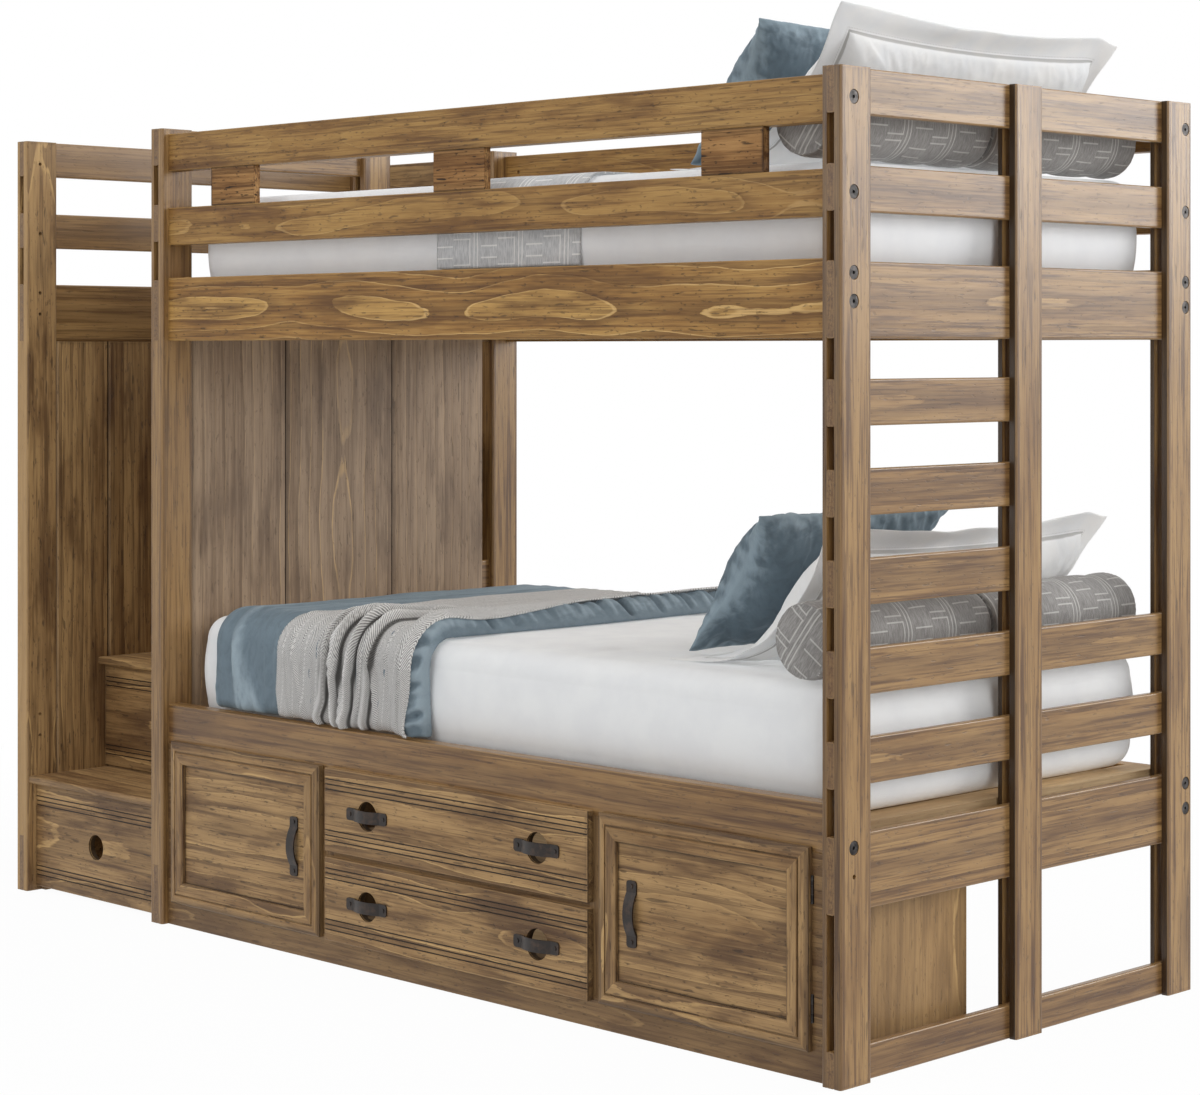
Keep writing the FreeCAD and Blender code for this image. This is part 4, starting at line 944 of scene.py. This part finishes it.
def makeBolsters(name, node, seed):
    low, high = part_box(node)
    radius = (high.z - low.z) / 2
    axisX, axisZ = (low.x + high.x) / 2, (low.z + high.z) / 2
    joined = bmesh.new()
    for spanLow, spanHigh in boardSpans(node, 1):
        # half the outline from the end's middle to the other end's middle, spun round the axis
        outline = [(0.0, spanLow)] + [(radius * share, spanLow + far) for share, far in bolster["end"]]
        run = spanHigh - spanLow
        start = bolster["sleeveFrom"]
        for number in range(bolster["rings"] + 1):
            share = number / bolster["rings"]
            outline.append((radius, spanLow + start + (run - 2 * start) * share))
        outline += [(r, spanLow + spanHigh - y) for r, y in reversed(outline[:7])]
        roll = bmesh.new()
        verts = [roll.verts.new((axisX, y, axisZ + r)) for r, y in outline]
        edges = [roll.edges.new(pair) for pair in zip(verts, verts[1:])]
        bmesh.ops.spin(roll, geom=verts + edges, cent=(axisX, 0, axisZ), axis=(0, 1, 0), angle=2 * math.pi,
                       steps=bolster["steps"], use_merge=True)
        bmesh.ops.remove_doubles(roll, verts=roll.verts, dist=1e-5)
        bmesh.ops.recalc_face_normals(roll, faces=roll.faces)
        for vert in roll.verts:
            arm = Vector((vert.co.x - axisX, 0, vert.co.z - axisZ))
            along = (vert.co.y - spanLow) / run
            wobble = noise.noise(Vector((vert.co.x * 7, vert.co.y * 6, vert.co.z * 7 + seed)))
            pucker = abs(noise.noise(Vector((math.atan2(arm.z, arm.x) * 7, vert.co.y * 9, seed))))
            nearEnd = 1 - ease(min(along, 1 - along), 0.0, 0.12)
            if arm.length > 1e-4:
                press = bolster["dent"] * (0.5 + 0.5 * wobble) + bolster["pucker"] * pucker * nearEnd
                quilted = abs(math.cos(math.pi * (vert.co.y + 0.385) / boxCloth["unit"])) ** 6
                press += bolster["puff"] * quilted
                vert.co -= arm.normalized() * press * min(arm.length / radius, 1)
        part = bpy.data.meshes.new("roll")
        roll.to_mesh(part)
        roll.free()
        joined.from_mesh(part)
        bpy.data.meshes.remove(part)
    piece = asObject(joined, name, True)
    sleeve = bolsterFinish("bolster " + name, boxCloth, axisX, axisZ)
    settle(piece, node, sleeve)
    piece.data.materials.append(bolsterEndFinish("bolster end " + name, boxCloth))
    for face in piece.data.polygons:
        if abs(face.normal.y) > 0.8:
            face.material_index = 1


# side views from the mattress up: x from the ladder end's outer face, z over the mattress, and how full the
# upper and the lower layer are
pillow = {
    "line": ((-0.560, 0.0033, 0.0, 0.0), (-0.470, 0.0033, 0.006, 0.0), (-0.400, 0.016, 0.030, 0.008),
             (-0.340, 0.044, 0.060, 0.024), (-0.285, 0.088, 0.078, 0.044), (-0.232, 0.140, 0.080, 0.044),
             (-0.190, 0.202, 0.066, 0.042), (-0.152, 0.274, 0.0, 0.0)),
    "cells": (98, 122), "flange": 0.050, "edge": 0.0016, "sag": 0.020, "drawnIn": 0.016, "flop": 0.016,
    "shoulder": 0.11, "droop": 0.016, "gather": 0.0042, "gatherReach": 0.040, "fill": 0.7,
    "puff": {"stiff": 12, "pressure": 3.0, "shrink": -0.02, "frames": 16, "most": 0.014},
    "taller": 0.06, "lean": 0.10,  # the upper one stands a little further up and back
}
cushion = {
    "line": ((-0.556, 0.0083, 0.0, 0.0), (-0.532, 0.062, 0.040, 0.016), (-0.490, 0.118, 0.068, 0.045),
             (-0.452, 0.172, 0.072, 0.0492), (-0.412, 0.226, 0.052, 0.039), (-0.368, 0.278, 0.0, 0.0)),
    "cells": (64, 88), "flange": 0.0, "edge": 0.0012, "sag": 0.006, "drawnIn": 0.056,
    "shoulder": 0.15, "gather": 0.0075, "gatherReach": 0.060, "fill": 0.75,
    "puff": {"stiff": 10, "pressure": 4.0, "shrink": -0.03, "frames": 18, "most": 0.020},
}


def makeBag(name, look, node, seed):
    # a stuffed bag that leans, with its seam round the rim and, on a pillow, a flat flange outside the seam
    low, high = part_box(node)
    outerX = frameEnd()
    top = low.z - min(row[1] for row in look["line"]) + 0.003
    line, length = lineThrough(look["line"])
    width = high.y - low.y
    flange = look["flange"]

    def where(u, v, layer):
        x, z, over, under = line(u)
        ahead, behind = line(u + 0.01), line(u - 0.01)
        run = Vector((ahead[0] - behind[0], 0, ahead[1] - behind[1])).normalized()
        normal = Vector((-run.z, 0, run.x))
        fromEnd, fromSide = min(u, 1 - u) * length, min(v, 1 - v) * width
        inner = max(min(fromEnd, fromSide) - flange, 0.0)
        full = swellOf(max(fromSide - flange, 0), look["shoulder"])
        full *= swellOf(fromEnd - flange, 0.030) if flange else 1.0
        middleV = 1 - (2 * v - 1) ** 2
        middleU = 1 - (2 * u - 1) ** 2
        gather = noise.noise(Vector((u * length * 46, v * width * 46, seed)))
        gather += 0.6 * noise.noise(Vector((u * length * 90, v * width * 90, seed + 2)))
        gather *= look["gather"] * math.exp(-inner / look["gatherReach"]) * ease(inner, 0.0, 0.008)
        # relief: painted light on the gathers' crests and shade between them, and on the cushion a painted sheen
        # along the rim and painted shade in its middle
        relief = 0.5 + gather * 45
        if not flange:
            hollow = math.exp(-((u - 0.42) ** 2 + (v - 0.5) ** 2) / 0.06)
            relief += 0.42 * math.exp(-inner / 0.030) - 0.30 * hollow
        soft = 0.006 * noise.noise(Vector((u * 4.1, v * 5.3, seed + 9))) * ease(inner, 0.0, 0.09)
        lift = look["edge"] + full * (over if layer > 0.5 else under)
        lift = (lift + soft * (1 if layer > 0.5 else 0.4)) * (1 if layer > 0.5 else -1) + gather
        place = Vector((outerX + x, low.y + v * width, top + z)) + normal * lift
        place += run * look["sag"] * middleV * (ease(0.45 - u, 0.0, 0.45) * 0.4 - ease(u, 0.62, 1.0))
        place.y += look["drawnIn"] * middleU * (1 - 2 * v) * abs(1 - 2 * v) ** 1.5
        if flange:
            outer = 1 - ease(min(fromEnd, fromSide), 0.0, flange)
            wave = noise.noise(Vector((u * 7, v * 9, seed + 5)))
            place += normal * outer * 0.009 * wave
            place -= normal * look["flop"] * outer * middleV * ease(u, 0.8, 1.0)
            atCorner = ease(u, 0.84, 1.0) * ease(abs(2 * v - 1), 0.82, 1.0)
            place += (normal * -0.6 - run) * look["droop"] * atCorner * (1.0 if v > 0.5 else 0.2)
        return place, min(max(relief, 0.0), 1.0)

    cloth = pouch(*look["cells"], True, where, (length, width))
    piece = asObject(cloth, name, True)
    cellsU, cellsV = look["cells"]
    rim = []
    for vert in piece.data.vertices:
        u, v = shareOf(vert.index, cellsU, cellsV)
        if min(min(u, 1 - u) * length, min(v, 1 - v) * width) <= flange + 0.004:
            rim.append(vert.index)
    puffUp(piece, rim, look["puff"])
    return piece, top, (length, width, flange)


def shareOf(index, cellsU, cellsV):
    # create_grid lays its points row by row, and the raised layer repeats them in the same order
    count = (cellsU + 1) * (cellsV + 1)
    index %= count
    return (index % (cellsU + 1)) / cellsU, (index // (cellsU + 1)) / cellsV


def frameEnd():
    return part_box("ladder_front_post")[1].x


def keepOff(piece, top, axis, radius, solid=None):
    # nothing goes into the mattress, the bolster or the piece behind it
    tree = None
    if solid is not None:
        tree = BVHTree.FromPolygons([vert.co for vert in solid.data.vertices],
                                    [tuple(face.vertices) for face in solid.data.polygons])
    for vert in piece.data.vertices:
        vert.co.z = max(vert.co.z, top + 0.0006)
        arm = Vector((vert.co.x - axis[0], 0, vert.co.z - axis[1]))
        if arm.length < radius + 0.001:
            vert.co += arm.normalized() * (radius + 0.001 - arm.length)
        if tree is not None:
            near, normal, face, distance = tree.find_nearest(vert.co)
            if (vert.co - near).dot(normal) < 0.0012:
                vert.co = near + normal * 0.0012
    soft = bmesh.new()
    soft.from_mesh(piece.data)
    low = [vert for vert in soft.verts if vert.co.z < top + 0.045]
    for number in range(6):
        bmesh.ops.smooth_vert(soft, verts=low, factor=0.5, use_axis_x=True, use_axis_y=True, use_axis_z=True)
    for vert in low:
        vert.co.z = max(vert.co.z, top + 0.0006)
    soft.to_mesh(piece.data)
    soft.free()
    piece.data.update()


def lifted(piece, name, rise, top, taller=0.0, lean=0.0):
    # the same piece again on the upper bunk, pulled up its slope from the mattress
    made = bpy.data.objects.new(name, piece.data.copy())
    slope = Matrix(((1, 0, lean, 0), (0, 1, 0, 0), (0, 0, 1 + taller, 0), (0, 0, 0, 1)))
    made.data.transform(Matrix.Translation((0, 0, rise + top)) @ slope @ Matrix.Translation((0, 0, -top)))
    bpy.context.scene.collection.objects.link(made)
    return made


def makePillows():
    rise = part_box("upper_pillow")[0].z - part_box("lower_pillow")[0].z
    low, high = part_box("lower_bolsters")
    radius = (high.z - low.z) / 2
    axis = ((low.x + high.x) / 2, (low.z + high.z) / 2)
    blue = velvetFinish("velvet", velvet, 3.0, 0.30)
    lowerPillow, top, seam = makeBag("lowerPillow", pillow, "lower_pillow", 2.0)
    cotton = cottonFinish("pillow cotton", pillowCotton, seam)
    keepOff(lowerPillow, top, axis, radius)
    lowerCushion = makeBag("lowerCushion", cushion, "lower_cushion", 7.0)[0]
    keepOff(lowerCushion, top, axis, radius, lowerPillow)
    upperPillow = lifted(lowerPillow, "upperPillow", rise, top, pillow["taller"], pillow["lean"])
    upperCushion = lifted(lowerCushion, "upperCushion", rise, top)
    keepOff(upperCushion, top + rise, (axis[0], axis[1] + rise), radius, upperPillow)
    for piece, node, material, slot, look in (
        (lowerPillow, "lower_pillow", cotton, "white_cotton", pillow),
        (lowerCushion, "lower_cushion", blue, "blue_velvet", cushion),
        (upperPillow, "upper_pillow", cotton, "white_cotton", pillow),
        (upperCushion, "upper_cushion", blue, "blue_velvet", cushion),
    ):
        smoothed(piece, 1)
        settle(piece, node, material)
    print("pillows and cushions made")


def drapeLine(node, drop, back):
    # over the mattress from the front hem to the back one: place, outward direction, and the length
    low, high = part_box(node)
    top = high.z
    edgeIn, edgeDown = mattress["edgeIn"], mattress["edgeDown"]
    points = []
    for number in range(9):
        points.append((low.y, top - drop + (drop - edgeDown) * number / 8, -1.0, 0.0))
    for number in range(1, 13):
        turn = math.pi / 2 * number / 12
        out = Vector((-math.cos(turn) / edgeIn, math.sin(turn) / edgeDown)).normalized()
        points.append((low.y + edgeIn * (1 - math.cos(turn)), top - edgeDown * (1 - math.sin(turn)), *out))
    for number in range(1, 40):
        points.append((low.y + edgeIn + (high.y - low.y - 2 * edgeIn) * number / 40, top, 0.0, 1.0))
    mirrored = [(low.y + high.y - y, z, -outY, outZ) for y, z, outY, outZ in points[9:21]]
    points += reversed(mirrored)
    for number in range(1, 6):
        points.append((high.y, top - edgeDown - (back - edgeDown) * number / 5, 1.0, 0.0))
    return follow(points)


duvet = {"cells": (230, 100), "drop": 0.195, "back": 0.080, "thick": 0.018, "roll": 0.024, "rollReach": 0.070,
         "gather": 0.0130, "fold": 0.020, "fill": 0.4}


def duvetOuter(distance, x, low, high, length, tucked=True):
    # how far the duvet's outer face stands off the mattress, and its relief: painted light on the tucks and
    # creases, painted shade between the tucks
    fromRight, fromLeft = high.x - x, x - low.x
    fromHem = min(distance, length - distance)
    thick = duvet["thick"] * swellOf(min(fromLeft, fromRight, fromHem) + 0.0015, 0.026)
    roll = duvet["roll"] * math.sin(math.pi * min(fromRight / duvet["rollReach"], 1.0)) ** 2
    lean = distance + fromRight * 0.5
    tucks = 0.5 - abs(noise.noise(Vector((lean * 30, 3.0, fromRight * 4)))) * 2.6
    tucks += 0.5 * noise.noise(Vector((lean * 66, 8.0, fromRight * 7)))
    tucks = tucks if tucked else 0.6
    tucks *= (1 - ease(fromRight, 0.05, 0.15)) * ease(fromRight, 0.0, 0.010)
    front = 1 - ease(distance, 0.10, 0.34)
    slant = x + distance * 0.10
    hang = noise.noise(Vector((slant * 11, distance * 1.1, 4.0)))
    crease = max(1 - abs(noise.noise(Vector((slant * 13, distance * 1.6, 1.0)))) * 9.0, 0.0)
    crease += 0.5 * max(1 - abs(noise.noise(Vector((slant * 25, distance * 2.6, 9.0)))) * 8.0, 0.0)
    waves = noise.noise(Vector((x * 6, distance * 5, 6.0)))
    folds = duvet["fold"] * (0.25 + 0.75 * front) * (0.25 + 0.25 * hang + 0.5 * crease) + 0.004 * waves
    relief = 0.5 + 0.60 * tucks + 0.50 * (crease - 0.12) * (0.15 + 0.85 * front) * ease(fromLeft, 0.0, 0.02)
    off = 0.0015 + thick + roll + tucks * duvet["gather"] + max(folds, 0.0) * ease(fromLeft, 0.0, 0.02)
    return off, min(max(relief, 0.0), 1.0)


def makeDuvet():
    low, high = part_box("folded_duvet")
    line, length = drapeLine("lower_mattress", duvet["drop"], duvet["back"])

    def where(u, v, layer):
        x = low.x + (high.x - low.x) * v
        distance = u * length
        y, z, outY, outZ = line(distance)
        outer, relief = duvetOuter(distance, x, low, high, length)
        off = outer if layer > 0.5 else 0.0012 + max(outer - 0.030, 0) * 0.5
        x -= 0.006 * math.sin(u * 9) * v
        return Vector((x, y + outY * off, z + outZ * off)), relief

    piece = asObject(pouch(*duvet["cells"], True, where), "foldedDuvet", True)
    smoothed(piece, 1)
    blue = velvetFinish("duvet satin", satin, 11.0, 0.25)
    settle(piece, "folded_duvet", blue)


lowerThrow = {"cells": (300, 110), "drop": 0.195, "back": 0.080, "thick": 0.0035, "tooth": 0.0022,
              "folds": (0.33, 0.435, 0.53, 0.635), "foldHigh": (0.022, 0.031, 0.030, 0.020),
              "foldWide": 0.0112, "lean": 0.55, "flat": (0.450, 1.33)}
upperThrow = {"cells": (220, 64), "drop": 0.178, "back": 0.080, "thick": 0.0035, "flat": (0.411, 1.31)}


def throwSheet(name, node, look, under, offset, shift, material):
    # one layer of cloth over what lies below it; offset gives its folds
    low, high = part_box(node)
    line, length = drapeLine(under, look["drop"], look["back"])
    width = high.x - low.x
    cellsU = look["cells"][0]

    def where(u, v, layer):
        distance = u * length
        x = low.x + width * v + shift(u, v)
        y, z, outY, outZ = line(distance)
        off, relief = offset(distance, x, u, v)
        tooth = look.get("tooth", 0.0)
        if tooth and round(u * cellsU) % 2:
            if v > 0.999:
                x += tooth
            elif v < 0.001:
                x -= tooth
        return Vector((x, y + outY * off, z + outZ * off)), min(max(relief, 0.0), 1.0)

    piece = asObject(pouch(*look["cells"], False, where, (length, width)), name, True)
    if piece.data.polygons[len(piece.data.polygons) // 2].normal.z < 0:
        piece.data.flip_normals()
    thicker = piece.modifiers.new("Thickness", "SOLIDIFY")
    thicker.thickness = look["thick"]
    thicker.offset = 1.0
    settle(piece, node, material)


def makeThrows():
    low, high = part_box("folded_duvet")
    duvetLength = drapeLine("lower_mattress", duvet["drop"], duvet["back"])[1]

    def lowerOffset(distance, x, u, v):
        base = max(duvetOuter(distance, min(max(x, low.x), high.x), low, high, duvetLength, False)[0], 0.006)
        folds, relief = foldsAt(u, v)
        ripple = 0.0035 * noise.noise(Vector((x * 16, distance * 3.2, 2.0)))
        return base + 0.0022 + folds + max(ripple, -0.001), relief

    def foldsAt(u, v):
        # narrow folds up the front, sweeping to the back right and dying out
        swing = 0.30 * ease(u, 0.17, 0.62)
        strength = 1 - 0.80 * ease(u, 0.20, 0.50)
        folds = 0.0
        relief = 0.5
        for number, (place, high) in enumerate(zip(lowerThrow["folds"], lowerThrow["foldHigh"])):
            centre = place + swing + 0.014 * math.sin(u * 17 + number * 2)
            away = (v - centre) * 0.45 / lowerThrow["foldWide"]
            folds += high * strength * math.exp(-away * away)
            # relief: a painted highlight on each fold and painted shade at its feet, deeper on the side where v
            # is larger
            relief += strength * 0.45 * math.exp(-away * away * 1.6)
            relief -= strength * 0.55 * math.exp(-((away - 1.45) / 0.42) ** 2)
            relief -= strength * 0.25 * math.exp(-((away + 1.45) / 0.42) ** 2)
        return folds, relief

    def lowerShift(u, v):
        bow = 0.010 * math.sin(u * 5.0) * v - 0.012 * ease(u, 0.3, 0.7) * (1 - v) + 0.006 * math.sin(u * 8)
        return lowerThrow["lean"] * foldsAt(u, v)[0] + bow

    ribbed = ribClothFinish("ribbed throw", ribCloth)
    throwSheet("lowerThrow", "lower_throw", lowerThrow, "lower_mattress", lowerOffset, lowerShift, ribbed)

    def upperOffset(distance, x, u, v):
        soft = 0.5 + 0.5 * noise.noise(Vector((x * 9, distance * 3, 5.0)))
        crease = abs(noise.noise(Vector((x * 15 + distance * 4, distance * 2, 8.0))))
        return 0.0022 + 0.0035 * soft + 0.003 * crease * ease(u, 0.12, 0.3), 0.5

    def upperShift(u, v):
        return 0.008 * math.sin(u * 6) * v

    boxes = boxThrowFinish("pale box throw", paleBoxCloth)
    throwSheet("upperThrow", "upper_throw", upperThrow, "upper_mattress", upperOffset, upperShift, boxes)
    print("duvet and throws made")


makeCamera()
makeStudio()
finishFrame()
makeMattress("lowerMattress", "lower_mattress", 1.0)
makeMattress("upperMattress", "upper_mattress", 5.0)
makeBolsters("lowerBolsters", "lower_bolsters", 1.0)
makeBolsters("upperBolsters", "upper_bolsters", 6.0)
print("mattresses and bolsters made")
makePillows()
makeDuvet()
makeThrows()
